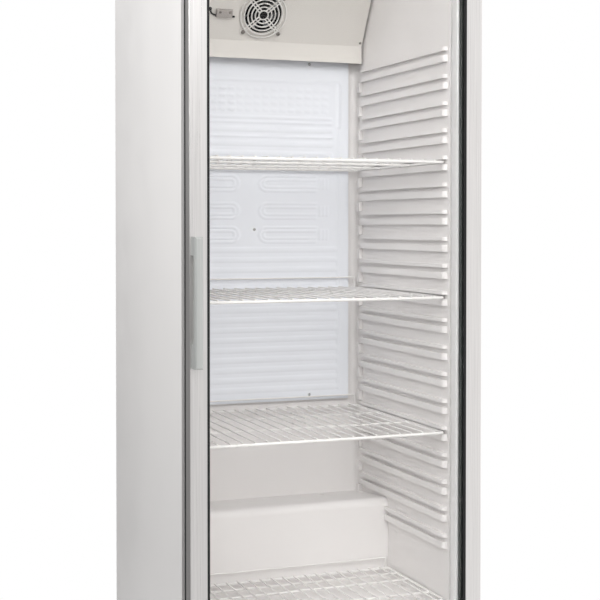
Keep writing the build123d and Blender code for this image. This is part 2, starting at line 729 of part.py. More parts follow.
def fan_cover():
    """Folded sheet: an upright lip, a panel that leans forward and a top flange."""
    sheet = COVER_SHEET
    bend = sheet * tan(atan(COVER_SLOPE) / 2)
    y_top = Y_LIP - COVER_SLOPE * (Z_CEILING - Z_FOLD)
    across = sheet * SLOPE_LENGTH
    outline = [
        (-X_COVER, Y_LIP, Z_LIP),
        (-X_COVER, Y_LIP, Z_FOLD),
        (-X_COVER, y_top, Z_CEILING),
        (-X_COVER, y_top + 24, Z_CEILING),
        (-X_COVER, y_top + 24, Z_CEILING - sheet),
        (-X_COVER, y_top + across + sheet * COVER_SLOPE, Z_CEILING - sheet),
        (-X_COVER, Y_LIP + sheet, Z_FOLD + bend),
        (-X_COVER, Y_LIP + sheet, Z_LIP),
    ]
    cover = prism(outline, (1, 0, 0), 2 * X_COVER)
    cheek = [
        (X_COVER - sheet, Y_LIP + sheet / 2, Z_LIP + 6),
        (X_COVER - sheet, Y_LIP + sheet / 2, Z_FOLD),
        (X_COVER - sheet, y_top + sheet, Z_CEILING - sheet / 2),
        (X_COVER - sheet, Y_LINER - CORNER_RADIUS - 1, Z_CEILING - sheet / 2),
        (X_COVER - sheet, Y_LINER - CORNER_RADIUS - 1, Z_LIP + 6),
    ]
    side = prism(cheek, (1, 0, 0), sheet)
    cover = cover + side + mirrored(side)
    for place in fan_screw_places():
        cover -= on_fan(rod((*place, -5), (*place, 5), SCREW_HOLE))
    cover -= on_fan(rod((0, 0, -5), (0, 0, 5), FAN_OPENING / 2))
    x, y = grommet_place()
    return cover - on_fan(rod((x, y, -5), (x, y, 5), GROMMET_RADIUS - 1.5))


def on_fan(shape):
    """Put a shape drawn on the fan's own plane on the sloped panel."""
    return FAN_PLANE.location * shape


def fan_screw_places():
    half = FAN_HOLES / 2
    return [(x, y) for x in (-half, half) for y in (-half, half)]


def fan_frame():
    """Square fan housing with a motor held on four struts."""
    top = -COVER_SHEET
    half = FAN_SIZE / 2
    housing = block(-half, half, -half, half, top - FAN_DEPTH, top)
    housing = fillet(housing.edges().filter_by(Axis.Z), 4.0)
    housing -= rod((0, 0, top - FAN_DEPTH - 1), (0, 0, 1), FAN_BORE / 2)
    back = top - FAN_DEPTH
    motor = rod((0, 0, back), (0, 0, back + 7), FAN_HUB)
    arm = block(-FAN_BORE / 2 - 1, FAN_BORE / 2 + 1, -2, 2, back, back + 4)
    arms = Rot(0, 0, 45) * arm + Rot(0, 0, -45) * arm
    shaft = rod((0, 0, back), (0, 0, back + 16), 1.5)
    housing = housing + motor + arms + shaft
    for place in fan_screw_places():
        housing -= rod((*place, -12), (*place, 1), SCREW_HOLE)
    return on_fan(housing)


def blade(root, tip, width, rise, pitch):
    """One flat fan blade set at an angle on its hub."""
    length = tip - root
    plate = Box(length, width, rise, align=(Align.MIN, Align.CENTER, Align.CENTER))
    cutter = rod((0, 0, -width), (0, 0, width), tip)
    return Pos(root, 0, 0) * Rot(pitch, 0, 0) * plate & cutter


def fan_rotor():
    """Seven-bladed rotor of the air fan."""
    back = -COVER_SHEET - FAN_DEPTH
    z0 = back + 8
    z1 = -COVER_SHEET - 3
    hub = rod((0, 0, z0), (0, 0, z1), FAN_HUB)
    hub -= rod((0, 0, z0 - 1), (0, 0, z1 - 4), 1.5 + PIN_FIT)
    tip = FAN_BORE / 2 - TIP_GAP
    vane = blade(FAN_HUB - 2, tip, 17.0, 1.4, 32)
    vanes = [Rot(0, 0, 360 * i / FAN_BLADES) * Pos(0, 0, (z0 + z1) / 2) * vane for i in range(FAN_BLADES)]
    return on_fan(hub + vanes)


def fan_guard():
    """White wire guard: rings on four pairs of spokes that reach the screws."""
    wire = GUARD_WIRE / 2
    z_ring = GUARD_HEIGHT
    first = GUARD_FIRST
    pieces = [rod((0, 0, z_ring - wire), (0, 0, z_ring + wire), first)]
    for index in range(1, GUARD_RINGS):
        radius = first + index * GUARD_PITCH
        pieces.append(Pos(0, 0, z_ring) * Torus(radius, wire))
    reach = FAN_HOLES / 2 * sqrt(2)
    for index in range(4):
        turn = Rot(0, 0, 45 + 90 * index)
        for offset in (-SPOKE_GAP / 2, SPOKE_GAP / 2):
            z = z_ring - 1.2 * wire
            pieces.append(turn * rod((first - 2, offset, z), (reach - 3, offset, z), wire))
        eye = rod((reach, 0, 0), (reach, 0, z_ring), 5.0) - rod((reach, 0, -1), (reach, 0, 6), SCREW_HOLE)
        pieces.append(turn * eye)
    return on_fan(pieces[0] + pieces[1:])


def pan_screw(shank):
    """Pan head screw that points along -Z from a surface at zero."""
    head = rod((0, 0, 0), (0, 0, SCREW_HEAD_HEIGHT), SCREW_HEAD)
    head = fillet(head.faces().sort_by(Axis.Z)[-1].edges(), 0.9)
    slot = block(-SCREW_HEAD, SCREW_HEAD, -0.4, 0.4, SCREW_HEAD_HEIGHT - 0.7, SCREW_HEAD_HEIGHT + 1)
    return head + rod((0, 0, -shank), (0, 0, 0), SCREW_RADIUS) - slot


def fan_screws():
    return [on_fan(Pos(x, y, GUARD_HEIGHT) * pan_screw(14.0)) for x, y in fan_screw_places()]


def bracket_corner():
    x, y = BRACKET_PLACE
    return x - BRACKET_BOX[0] / 2, y - BRACKET_BOX[1] / 2


def probe_bracket():
    """Small box on the panel that clamps the temperature probe."""
    width, height, depth = BRACKET_BOX
    x0, y0 = bracket_corner()
    box = block(x0, x0 + width, y0, y0 + height, 0, depth)
    box = fillet(box.faces().sort_by(Axis.Z)[-1].edges(), 1.0)
    y = probe_y()
    box -= rod((x0 - 1, y, depth / 2), (x0 + width + 1, y, depth / 2), PROBE_RADIUS)
    return on_fan(box)


def probe_y():
    return bracket_corner()[1] + 6.0


def grommet_place():
    x0, y0 = bracket_corner()
    return x0 - 14.0, y0 + 17.0


def probe_grommet():
    """Rubber grommet where the probe lead comes through the panel."""
    x, y = grommet_place()
    ring = rod((x, y, -COVER_SHEET), (x, y, 0), GROMMET_RADIUS - 1.5)
    ring += rod((x, y, 0), (x, y, 2.0), GROMMET_RADIUS)
    ring += rod((x, y, -COVER_SHEET - 2.0), (x, y, -COVER_SHEET), GROMMET_RADIUS)
    return on_fan(ring - rod((x, y, -9), (x, y, 9), LEAD_RADIUS))


def lead_route():
    """The lead's way from behind the panel to the probe, as corner points."""
    x, y = grommet_place()
    depth = BRACKET_BOX[2]
    x0 = bracket_corner()[0]
    return [
        (x, y, -COVER_SHEET - 2.0),
        (x, y, 9.0),
        (x - 9.0, y - 7.0, 9.0),
        (x - 7.0, probe_y(), depth / 2),
        (x0, probe_y(), depth / 2),
    ]


def probe_lead():
    return on_fan(tube_path(lead_route(), 4.0, LEAD_RADIUS))


def temperature_probe():
    """Probe body held in the bracket, its tip out in the air stream."""
    x0 = bracket_corner()[0]
    y = probe_y()
    z = BRACKET_BOX[2] / 2
    tip = x0 + BRACKET_BOX[0] + PROBE_TIP
    body = rod((x0, y, z), (tip, y, z), PROBE_RADIUS)
    return on_fan(fillet(body.faces().sort_by(Axis.X)[-1].edges(), 1.6))


def cover_screws():
    """Screws that hold the fan cover near its ends."""
    x = X_COVER - 5.0
    screws = []
    for side in (-x, x):
        for up in (8.0, FAN_UP + 110.0):
            spot = Vector(side, Y_LIP - COVER_SLOPE * up / SLOPE_LENGTH, Z_FOLD + up / SLOPE_LENGTH)
            plane = Plane(origin=spot, x_dir=(1, 0, 0), z_dir=SLOPE_OUT)
            head = rod((0, 0, 0), (0, 0, SCREW_HEAD_HEIGHT), SCREW_HEAD)
            screws.append(plane.location * fillet(head.faces().sort_by(Axis.Z)[-1].edges(), 0.9))
    return screws


def ceiling_lamp():
    """Sealed lamp batten on the ceiling, in front of the fan cover."""
    length, width, drop = LAMP
    y0 = Y_CAB + LAMP_INSET
    lamp = block(-length / 2, length / 2, y0, y0 + width, Z_CEILING - drop, Z_CEILING)
    return fillet(lamp.faces().sort_by(Axis.Z)[0].edges(), 3.0)


# ---- cold side ----

def plate_front():
    return Y_LINER - PLATE_STANDOFF - PLATE


def evaporator_plate():
    """Roll-bonded plate with a raised serpentine channel on its front."""
    y0 = plate_front()
    x_half = PLATE_WIDTH / 2
    z0 = Z_FLOOR + PLATE_BOTTOM
    z1 = Z_CEILING - PLATE_TOP_GAP
    plate = block(-x_half, x_half, y0, y0 + PLATE, z0, z1)
    rows = int((z1 - z0 - 60) / CHANNEL_PITCH)
    points = []
    for row in range(rows + 1):
        z = z0 + 30 + row * CHANNEL_PITCH
        ends = [(-x_half + 24, y0, z), (x_half - 24, y0, z)]
        points += ends if row % 2 == 0 else ends[::-1]
    channel = tube_path(points, CHANNEL_PITCH / 2 - 0.5, CHANNEL_RADIUS)
    channel &= block(-x_half, x_half, y0 - 10, y0 + PLATE / 2, z0, z1)
    for x, z in standoff_places():
        plate -= rod((x, y0 - 20, z), (x, y0 + 20, z), SCREW_HOLE)
        channel -= rod((x, y0 - 20, z), (x, y0 + 20, z), SCREW_HEAD + 1)
    return plate + channel


def standoff_places():
    z0 = Z_FLOOR + PLATE_BOTTOM
    top = Z_LIP - 3.0
    middle = (z0 + top) / 2 + 7.0
    places = [(0.0, middle)]
    for x in (-STANDOFF_SPREAD, STANDOFF_SPREAD):
        places += [(x, z0 + 12.0), (x, top)]
    return places


def plate_standoffs():
    """White spacers behind the plate."""
    y0 = plate_front() + PLATE
    spacers = []
    for x, z in standoff_places():
        spacer = rod((x, y0, z), (x, Y_LINER, z), STANDOFF_RADIUS)
        spacers.append(spacer - rod((x, y0 - 1, z), (x, Y_LINER + 1, z), SCREW_HOLE))
    return Compound(children=spacers)


def plate_screws():
    y0 = plate_front()
    screws = []
    for x, z in standoff_places():
        plane = Plane(origin=(x, y0, z), x_dir=(1, 0, 0), z_dir=(0, -1, 0))
        screws.append(plane.location * pan_screw(PLATE + PLATE_STANDOFF))
    return screws


def suction_route(radius):
    """Suction pipe from the plate down through the foam to the machine room."""
    x = suction_x()
    y = (Y_LINER + LINER + Y_REAR) / 2
    z_top = Z_FLOOR + PLATE_BOTTOM + 46
    points = [(x, plate_front() + PLATE, z_top), (x, y, z_top), (x, y, suction_z())]
    return tube_path(points, 14.0, radius)


def suction_x():
    return X_OUT - COMPRESSOR_SIDE + 50


def suction_z():
    return Z_PAN + RUBBER_HEIGHT + COMPRESSOR_SIZE[2] * 0.62


def compressor_centre():
    return X_OUT - COMPRESSOR_SIDE, Y_ROOM + 20 + COMPRESSOR_SIZE[1] / 2


def compressor_feet():
    x, y = compressor_centre()
    return [(x + sx, y + sy) for sx in (-70.0, 70.0) for sy in (-50.0, 50.0)]


def compressor():
    """Hermetic compressor: a domed oval pot on a foot plate, with its terminal box."""
    x, y = compressor_centre()
    length, width, height = COMPRESSOR_SIZE
    z0 = Z_PAN + RUBBER_HEIGHT
    pot = Pos(x, y, z0 + 2) * extrude(Ellipse(length / 2, width / 2), height)
    pot = fillet(pot.faces().sort_by(Axis.Z)[-1].edges(), 34.0)
    pot = fillet(pot.faces().sort_by(Axis.Z)[0].edges(), 18.0)
    plate = block(x - 84, x + 84, y - 64, y + 64, z0, z0 + 3)
    for fx, fy in compressor_feet():
        plate -= rod((fx, fy, z0 - 1), (fx, fy, z0 + 4), 6.0)
    pot += plate
    pot += block(x - length / 2 - 16, x - length / 2 + 22, y - 26, y + 26, z0 + 40, z0 + 96)
    y_pipe = (Y_LINER + LINER + Y_REAR) / 2
    z_pipe = suction_z()
    stub = tube_path(
        [(suction_x(), y, z_pipe - 24), (suction_x(), y_pipe, z_pipe - 24), (suction_x(), y_pipe, z_pipe)],
        10.0, PIPE_RADIUS,
    )
    return pot + stub


def compressor_rubbers():
    z0 = Z_PAN
    rubbers = []
    for x, y in compressor_feet():
        rubber = rod((x, y, z0), (x, y, z0 + RUBBER_HEIGHT), 10.0)
        rubber += rod((x, y, z0 + RUBBER_HEIGHT), (x, y, z0 + RUBBER_HEIGHT + 3), 6.0)
        rubbers.append(rubber - rod((x, y, z0 - 1), (x, y, z0 + 40), 4.0))
    return Compound(children=rubbers)


def condenser_corner():
    return -X_OUT + CONDENSER_SIDE, Y_ROOM + 12, Z_PAN


def condenser_coil():
    """Finned condenser: upright fins on eight tube runs, standing on two end plates."""
    width, depth, height = CONDENSER_SIZE
    x0, y0, z0 = condenser_corner()
    pieces = [
        block(x0, x0 + 1.5, y0, y0 + depth, z0, z0 + height),
        block(x0 + width - 1.5, x0 + width, y0, y0 + depth, z0, z0 + height),
    ]
    fins = int(width / FIN_PITCH)
    for index in range(1, fins):
        x = x0 + index * FIN_PITCH
        pieces.append(block(x, x + FIN, y0 + 2, y0 + depth - 2, z0 + 12, z0 + height - 4))
    rows = 4
    pitch = (height - 50) / (rows - 1)
    for row in range(rows):
        z = z0 + 28 + row * pitch
        for y in (y0 + depth * 0.28, y0 + depth * 0.72):
            pieces.append(rod((x0 - 6, y, z), (x0 + width + 6, y, z), PIPE_RADIUS))
        bend = PIPE_RADIUS * 0.85
        inset = bend + 0.8
        x = x0 - 6 + inset
        pieces.append(rod((x, y0 + depth * 0.28, z), (x, y0 + depth * 0.72, z), bend))
        if row < rows - 1:
            x = x0 + width + 6 - inset
            pieces.append(rod((x, y0 + depth * 0.72, z), (x, y0 + depth * 0.28, z + pitch), bend))
    return pieces[0] + pieces[1:]


def condenser_fan_centre():
    width, depth, height = CONDENSER_SIZE
    x0, y0, z0 = condenser_corner()
    return x0 + width / 2, y0 + depth, z0 + height / 2


def condenser_shroud():
    """Plate with a round mouth, and the fan motor on three arms behind it."""
    width = CONDENSER_SIZE[0]
    height = CONDENSER_SIZE[2]
    x0, z0 = condenser_corner()[::2]
    x, y, z = condenser_fan_centre()
    plate = block(x0, x0 + width, y, y + 2, z0, z0 + height)
    plate -= rod((x, y - 1, z), (x, y + 3, z), CONDENSER_FAN + TIP_GAP + 1)
    motor = rod((x, y + 34, z), (x, y + 74, z), 26.0)
    shaft = rod((x, y + 8, z), (x, y + 34, z), 2.5)
    pieces = [motor, shaft]
    reach = CONDENSER_FAN + 14
    for turn in (90, 210, 330):
        cx = cos(radians(turn))
        cz = sin(radians(turn))
        end = (x + reach * cx, y + 44, z + reach * cz)
        pieces.append(rod((x + 20 * cx, y + 44, z + 20 * cz), end, 3.4))
        pieces.append(rod((end[0], y + 1, end[2]), (end[0], y + 48, end[2]), 4.0))
    return plate + pieces


def condenser_fan_rotor():
    x, y, z = condenser_fan_centre()
    hub = rod((0, 0, 0), (0, 0, 20), 22.0) - rod((0, 0, -1), (0, 0, 21), 2.5 + PIN_FIT)
    vane = blade(20.0, CONDENSER_FAN, 44.0, 1.6, 24)
    vanes = [Rot(0, 0, 72 * i) * Pos(0, 0, 10) * vane for i in range(5)]
    place = Plane(origin=(x, y + 11, z), x_dir=(1, 0, 0), z_dir=(0, 1, 0))
    return place.location * (hub + vanes)


def refrigerant_pipes():
    """Copper circuit in the machine room, with its drier, and the suction pipe."""
    width, depth, height = CONDENSER_SIZE
    x0, y0, z0 = condenser_corner()
    x_coil = x0 + width + 6
    y_coil = y0 + depth * 0.72
    z_high = z0 + 28 + (height - 50)
    z_low = z0 + 28
    x_port = compressor_centre()[0] - COMPRESSOR_SIZE[0] / 2 - 16
    discharge = tube_path(
        [(x_coil, y_coil, z_high), (x_coil + 24, y_coil, z_high), (x_coil + 24, y_coil, z_low + 60),
         (x_port, y_coil, z_low + 60)],
        9.0, PIPE_RADIUS,
    )
    drier_x = x_coil + 20
    y_low = y0 + depth * 0.28
    liquid = tube_path(
        [(x_coil, y_low, z_low), (drier_x, y_low, z_low), (drier_x, y_low, z_low + 16)], 8.0, PIPE_RADIUS,
    )
    drier = rod((drier_x, y_low, z_low + 16), (drier_x, y_low, z_low + 96), 9.0)
    capillary = rod((drier_x, y_low, z_low + 96), (drier_x, y_low, Z_ROOF), 1.5)
    return [discharge, liquid + drier + capillary, suction_route(PIPE_RADIUS)]


def evaporation_tray():
    """Tray on top of the compressor, where melt water dries off."""
    x, y = compressor_centre()
    z0 = Z_PAN + RUBBER_HEIGHT + 2 + COMPRESSOR_SIZE[2]
    x1 = suction_x() - PIPE_RADIUS - 4
    tray = block(x - 80, x1, y - 60, Y_GRILLE - 12, z0, z0 + 42)
    return tray - block(x - 78, x1 - 2, y - 58, Y_GRILLE - 14, z0 + 2, z0 + 50)


# ---- feet ----

def foot_places():
    x = X_OUT - FOOT_INSET
    return [(sx, y) for y in (Y_CAB + FOOT_INSET, Y_REAR - FOOT_INSET) for sx in (-x, x)]


def levelling_foot(x, y):
    """Screwed foot: a pad, a hexagon to turn it by and a stud."""
    pad = rod((x, y, 0), (x, y, 9), FOOT_RADIUS)
    pad = fillet(pad.faces().sort_by(Axis.Z)[-1].edges(), 3.0)
    nut = Pos(x, y, 9) * extrude(RegularPolygon(12.0, 6), 10)
    return pad + nut + rod((x, y, 18), (x, y, Z_PAN + 16), STUD_RADIUS)


# ---- all nodes ----

def all_parts():
    ring = aluminium_ring()
    outer, inner = glass_planes()
    right_panel = side_panel()
    parts = {
        "side_panel_right": right_panel,
        "side_panel_left": mirrored(right_panel),
        "top_panel": top_panel(),
        "back_panel": back_panel(),
        "front_frame": front_frame(),
        "base_pan": base_pan(),
        "kick_plate": kick_plate(),
        "rear_grille": rear_grille(),
        "cable_gland": cable_gland(),
        "foam_insulation": foam_insulation(),
        "inner_liner": inner_liner(),
        "drain_tube": drain_tube(),
        "control_fascia": control_fascia(),
        "controller_body": controller_body(),
        "lock_sleeve": lock_sleeve(),
        "lock_barrel": lock_barrel(),
        "hinge_bracket_top": hinge_bracket(DOOR_TOP + 1, False),
        "hinge_bracket_bottom": hinge_bracket(DOOR_BOTTOM - 1 - BRACKET, True),
        "ceiling_lamp": ceiling_lamp(),
        "fan_cover": fan_cover(),
        "fan_frame": fan_frame(),
        "fan_rotor": fan_rotor(),
        "fan_guard": fan_guard(),
        "pan_screws": Compound(children=fan_screws() + cover_screws() + plate_screws()),
        "probe_bracket": probe_bracket(),
        "probe_grommet": probe_grommet(),
        "probe_lead": probe_lead(),
        "temperature_probe": temperature_probe(),
        "evaporator_plate": evaporator_plate(),
        "plate_standoffs": plate_standoffs(),
        "compressor": compressor(),
        "compressor_rubbers": compressor_rubbers(),
        "condenser_coil": condenser_coil(),
        "condenser_shroud": condenser_shroud(),
        "condenser_fan_rotor": condenser_fan_rotor(),
        "refrigerant_pipes": Compound(children=refrigerant_pipes()),
        "evaporation_tray": evaporation_tray(),
        "door_thermal_break": thermal_break(),
        "door_inner_frame": inner_frame(),
        "door_gasket": door_gasket(),
        "glass_panes": Compound(children=[glass_pane(outer), glass_pane(inner)]),
        "glass_spacer": glass_spacer(),
        "glazing_bead": glazing_bead(),
        "door_handle": door_handle(),
        "hinge_bushes": Compound(children=[
            hinge_bush(DOOR_TOP, DOOR_TOP - PIN_LENGTH - 3),
            hinge_bush(DOOR_BOTTOM, DOOR_BOTTOM + PIN_LENGTH + 3),
        ]),
        "shelf_bottom": bottom_shelf(),
    }
    for side in ("left", "right", "top", "bottom"):
        parts["door_rail_" + side] = mitred(ring, side)
    for name, place in zip(("key_set", "key_up", "key_down"), key_places()):
        parts[name] = controller_key(place)
    first = upper_shelf(SHELF_RIBS[0])
    for name, index in zip(("shelf_upper", "shelf_middle", "shelf_lower"), SHELF_RIBS):
        drop = (index - SHELF_RIBS[0]) * RIB_PITCH
        parts[name] = Pos(0, 0, drop) * first
    names = ("foot_front_left", "foot_front_right", "foot_rear_left", "foot_rear_right")
    for name, (x, y) in zip(names, foot_places()):
        parts[name] = levelling_foot(x, y)
    return parts


os.makedirs("parts", exist_ok=True)
for name, shape in all_parts().items():
    export_step(shape, f"parts/{name}.step")
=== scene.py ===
# %% [markdown]
# Reach-in refrigerator, dressed for the camera.
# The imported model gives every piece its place, in metres, with +Z up and the
# door facing -Y. This lesson gives those pieces their edges and finishes, and
# builds the ones whose look needs more than the plain model holds: the wire
# shelves, the evaporator plate, the fan, its guard, the probe and the screws.

import json
import math

import bmesh
import bpy
import numpy as np
from mathutils import Matrix, Vector

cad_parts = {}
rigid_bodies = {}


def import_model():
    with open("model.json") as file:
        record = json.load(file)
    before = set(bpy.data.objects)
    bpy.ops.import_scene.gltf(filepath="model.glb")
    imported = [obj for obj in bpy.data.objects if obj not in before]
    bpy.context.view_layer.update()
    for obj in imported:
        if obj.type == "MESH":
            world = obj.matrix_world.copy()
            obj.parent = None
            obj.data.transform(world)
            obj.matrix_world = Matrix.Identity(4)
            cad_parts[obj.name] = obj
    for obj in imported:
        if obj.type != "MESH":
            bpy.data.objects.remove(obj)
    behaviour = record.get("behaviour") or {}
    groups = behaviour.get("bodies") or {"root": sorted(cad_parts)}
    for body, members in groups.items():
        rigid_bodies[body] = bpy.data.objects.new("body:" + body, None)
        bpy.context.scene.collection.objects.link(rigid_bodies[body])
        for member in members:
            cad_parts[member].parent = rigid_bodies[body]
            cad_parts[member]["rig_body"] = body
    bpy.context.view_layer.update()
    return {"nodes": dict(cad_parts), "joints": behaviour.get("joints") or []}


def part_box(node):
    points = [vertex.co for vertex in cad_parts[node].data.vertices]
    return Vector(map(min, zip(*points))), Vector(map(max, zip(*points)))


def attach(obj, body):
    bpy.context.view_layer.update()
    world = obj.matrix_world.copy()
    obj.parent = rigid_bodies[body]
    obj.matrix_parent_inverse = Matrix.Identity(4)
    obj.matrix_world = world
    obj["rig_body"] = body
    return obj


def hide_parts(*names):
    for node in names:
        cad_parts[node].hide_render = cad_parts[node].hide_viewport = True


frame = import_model()
nodes = frame["nodes"]


# %% [markdown]
# Every finish starts from the same short recipe: a Principled shader, a noise
# that breaks up its roughness, and a bump for the fine relief that catches the
# light. The patterns read Object coordinates, so they stay fixed to the piece
# when a joint moves it. Values that are the same all over a surface are set on
# the shader itself.

# %% Material helper
def node_links(material):
    """The node tree of a material and its link maker."""
    tree = material.node_tree
    return tree.nodes, tree.links


def finish_base(name, color, roughness, metallic=0.0, specular=0.5):
    """A material with one Principled shader, and that shader."""
    material = bpy.data.materials.new(name)
    material.use_nodes = True
    shader = material.node_tree.nodes["Principled BSDF"]
    shader.inputs["Base Color"].default_value = (*color, 1.0)
    shader.inputs["Roughness"].default_value = roughness
    shader.inputs["Metallic"].default_value = metallic
    shader.inputs["Specular IOR Level"].default_value = specular
    material.diffuse_color = (*color, 1.0)
    return material, shader


def mix_shaders(tree, factor, first, second):
    """One shader where the factor is 0 and another where it is 1."""
    mix = tree.nodes.new("ShaderNodeMixShader")
    for socket, value in zip(mix.inputs, (factor, first, second)):
        tree.links.new(value, socket)
    return mix.outputs["Shader"]


def object_pattern(material, stretch=(1.0, 1.0, 1.0)):
    """Object coordinates through a Mapping node that can stretch them."""
    tree_nodes, links = node_links(material)
    place = tree_nodes.new("ShaderNodeTexCoord")
    mapping = tree_nodes.new("ShaderNodeMapping")
    mapping.inputs["Scale"].default_value = stretch
    links.new(place.outputs["Object"], mapping.inputs["Vector"])
    return mapping.outputs["Vector"]


def noise(material, vector, scale, detail=3.0, roughness=0.5):
    """A noise pattern's value."""
    tree_nodes, links = node_links(material)
    texture = tree_nodes.new("ShaderNodeTexNoise")
    texture.inputs["Scale"].default_value = scale
    texture.inputs["Detail"].default_value = detail
    texture.inputs["Roughness"].default_value = roughness
    links.new(vector, texture.inputs["Vector"])
    return texture.outputs["Fac"]


def ramp(material, value, low, high, at=(0.3, 0.7)):
    """A colour or grey that runs from low to high as value grows."""
    tree_nodes, links = node_links(material)
    node = tree_nodes.new("ShaderNodeValToRGB")
    for element, color, place in zip(node.color_ramp.elements, (low, high), at):
        element.color = (*color, 1.0)
        element.position = place
    links.new(value, node.inputs["Fac"])
    return node.outputs["Color"]


def grey(value):
    """The same number three times, for a ramp that drives one socket."""
    return (value, value, value)


def bump(material, shader, height, strength, distance):
    """Raise the surface's shading by a height pattern."""
    tree_nodes, links = node_links(material)
    node = tree_nodes.new("ShaderNodeBump")
    node.inputs["Strength"].default_value = strength
    node.inputs["Distance"].default_value = distance
    links.new(height, node.inputs["Height"])
    links.new(node.outputs["Normal"], shader.inputs["Normal"])
    return node


def vary(material, shader, color, spread, rough, rough_spread, scale):
    """Slow changes of colour and roughness, and the coordinates they follow."""
    links = material.node_tree.links
    vector = object_pattern(material)
    slow = noise(material, vector, scale, 4.0)
    low = tuple(max(0.0, c * (1 - spread)) for c in color)
    high = tuple(min(1.0, c * (1 + spread)) for c in color)
    links.new(ramp(material, slow, low, high), shader.inputs["Base Color"])
    fine = noise(material, vector, scale * 3.7, 5.0)
    rough_low = grey(max(0.02, rough - rough_spread))
    rough_high = grey(min(1.0, rough + rough_spread))
    links.new(ramp(material, fine, rough_low, rough_high), shader.inputs["Roughness"])
    return vector


# %% [markdown]
# Powder coat on sheet steel has a faint orange peel: bumps about two
# millimetres apart and a few hundredths high. A noise at that scale, with a
# very low bump, gives it. The same recipe with a finer noise serves the
# plastic-coated wire. Moulded sheet has slow waves instead, where the hot
# plastic was drawn over its mould.

# %% Painted and moulded white finishes
def powder_coat(name, color, rough=0.38, peel=520.0, depth=0.00006):
    """White paint on sheet steel, with orange peel."""
    material, shader = finish_base(name, color, rough, specular=0.45)
    vector = vary(material, shader, color, 0.012, rough, 0.05, 3.0)
    peel_noise = noise(material, vector, peel, 2.0)
    bump(material, shader, peel_noise, 0.35, depth)
    return material


def moulded_sheet(name, color, rough=0.42):
    """Vacuum-formed plastic: a soft sheen and slow waves where the sheet stretched."""
    material, shader = finish_base(name, color, rough, specular=0.4)
    vector = vary(material, shader, color, 0.015, rough, 0.06, 5.0)
    waves = noise(material, vector, 46.0, 4.0, 0.55)
    bump(material, shader, waves, 0.25, 0.0004)
    return material


white_paint = powder_coat("white_powder_coat", (0.80, 0.785, 0.775))
cover_paint = powder_coat("cover_powder_coat", (0.77, 0.745, 0.705), rough=0.42)
liner_white = moulded_sheet("moulded_lining", (0.845, 0.825, 0.815))
trim_white = moulded_sheet("moulded_trim", (0.80, 0.80, 0.795), rough=0.36)
wire_coat = powder_coat("wire_plastic_coat", (0.84, 0.825, 0.81), rough=0.3, peel=900.0, depth=0.00004)


# %% [markdown]
# Brushed and anodised aluminium shows fine lines along the way it was drawn.
# A noise that is stretched nearly two hundred times along one axis makes those
# lines. They drive roughness, colour and a slight bump together, so that the
# streaks read in every light.

# %% Metals
def brushed_metal(name, color, along, rough=0.34, depth=0.00003, metallic=1.0):
    """Metal brushed along one axis: 0 for X, 1 for Y, 2 for Z."""
    material, shader = finish_base(name, color, rough, metallic=metallic)
    stretch = [420.0, 420.0, 420.0]
    stretch[along] = 2.2
    vector = object_pattern(material, tuple(stretch))
    tree_nodes, links = node_links(material)
    lines = noise(material, vector, 2.2, 5.0, 0.65)
    dark = tuple(c * 0.86 for c in color)
    light = tuple(min(1.0, c * 1.08) for c in color)
    links.new(ramp(material, lines, dark, light), shader.inputs["Base Color"])
    links.new(ramp(material, lines, grey(rough - 0.08), grey(rough + 0.1)), shader.inputs["Roughness"])
    bump(material, shader, lines, 0.2, depth)
    return material


def galvanised(name):
    """Zinc-coated sheet with its crystal spangle."""
    color = (0.60, 0.61, 0.62)
    material, shader = finish_base(name, color, 0.42, metallic=1.0)
    tree_nodes, links = node_links(material)
    vector = object_pattern(material)
    cells = tree_nodes.new("ShaderNodeTexVoronoi")
    cells.inputs["Scale"].default_value = 95.0
    links.new(vector, cells.inputs["Vector"])
    spangle = ramp(material, cells.outputs["Color"], (0.48, 0.49, 0.50), (0.66, 0.67, 0.68), (0.1, 0.9))
    links.new(spangle, shader.inputs["Base Color"])
    rough = ramp(material, cells.outputs["Color"], grey(0.34), grey(0.52), (0.1, 0.9))
    links.new(rough, shader.inputs["Roughness"])
    return material


def plain_metal(name, color, rough, scratch=160.0):
    """Bare or plated metal with handling marks."""
    material, shader = finish_base(name, color, rough, metallic=1.0)
    vary(material, shader, color, 0.06, rough, 0.07, scratch)
    return material


upright_aluminium = brushed_metal("aluminium_brushed_upright", (0.80, 0.785, 0.775), 2)
level_aluminium = brushed_metal("aluminium_brushed_level", (0.80, 0.785, 0.775), 0)
handle_aluminium = brushed_metal("handle_aluminium", (0.60, 0.615, 0.60), 2, rough=0.46, metallic=0.6)
zinc_sheet = galvanised("galvanised_sheet")
plated_steel = plain_metal("plated_steel", (0.62, 0.62, 0.62), 0.25)
copper = plain_metal("bare_copper", (0.80, 0.45, 0.29), 0.28, 60.0)
fin_metal = plain_metal("mill_aluminium", (0.66, 0.66, 0.67), 0.4, 90.0)


# %% [markdown]
# Rubbers and dark plastics differ mostly in sheen. Rubber is rough and a
# little dusty, and a moulded fan has a fine matt grain.

# %% Rubbers, plastics and enamel
def dull(name, color, rough, grain, depth=0.00008, spread=0.12):
    """A matt rubber or plastic with a fine grain."""
    material, shader = finish_base(name, color, rough, specular=0.35)
    vector = vary(material, shader, color, spread, rough, 0.08, 30.0)
    bump(material, shader, noise(material, vector, grain, 3.0), 0.3, depth)
    return material


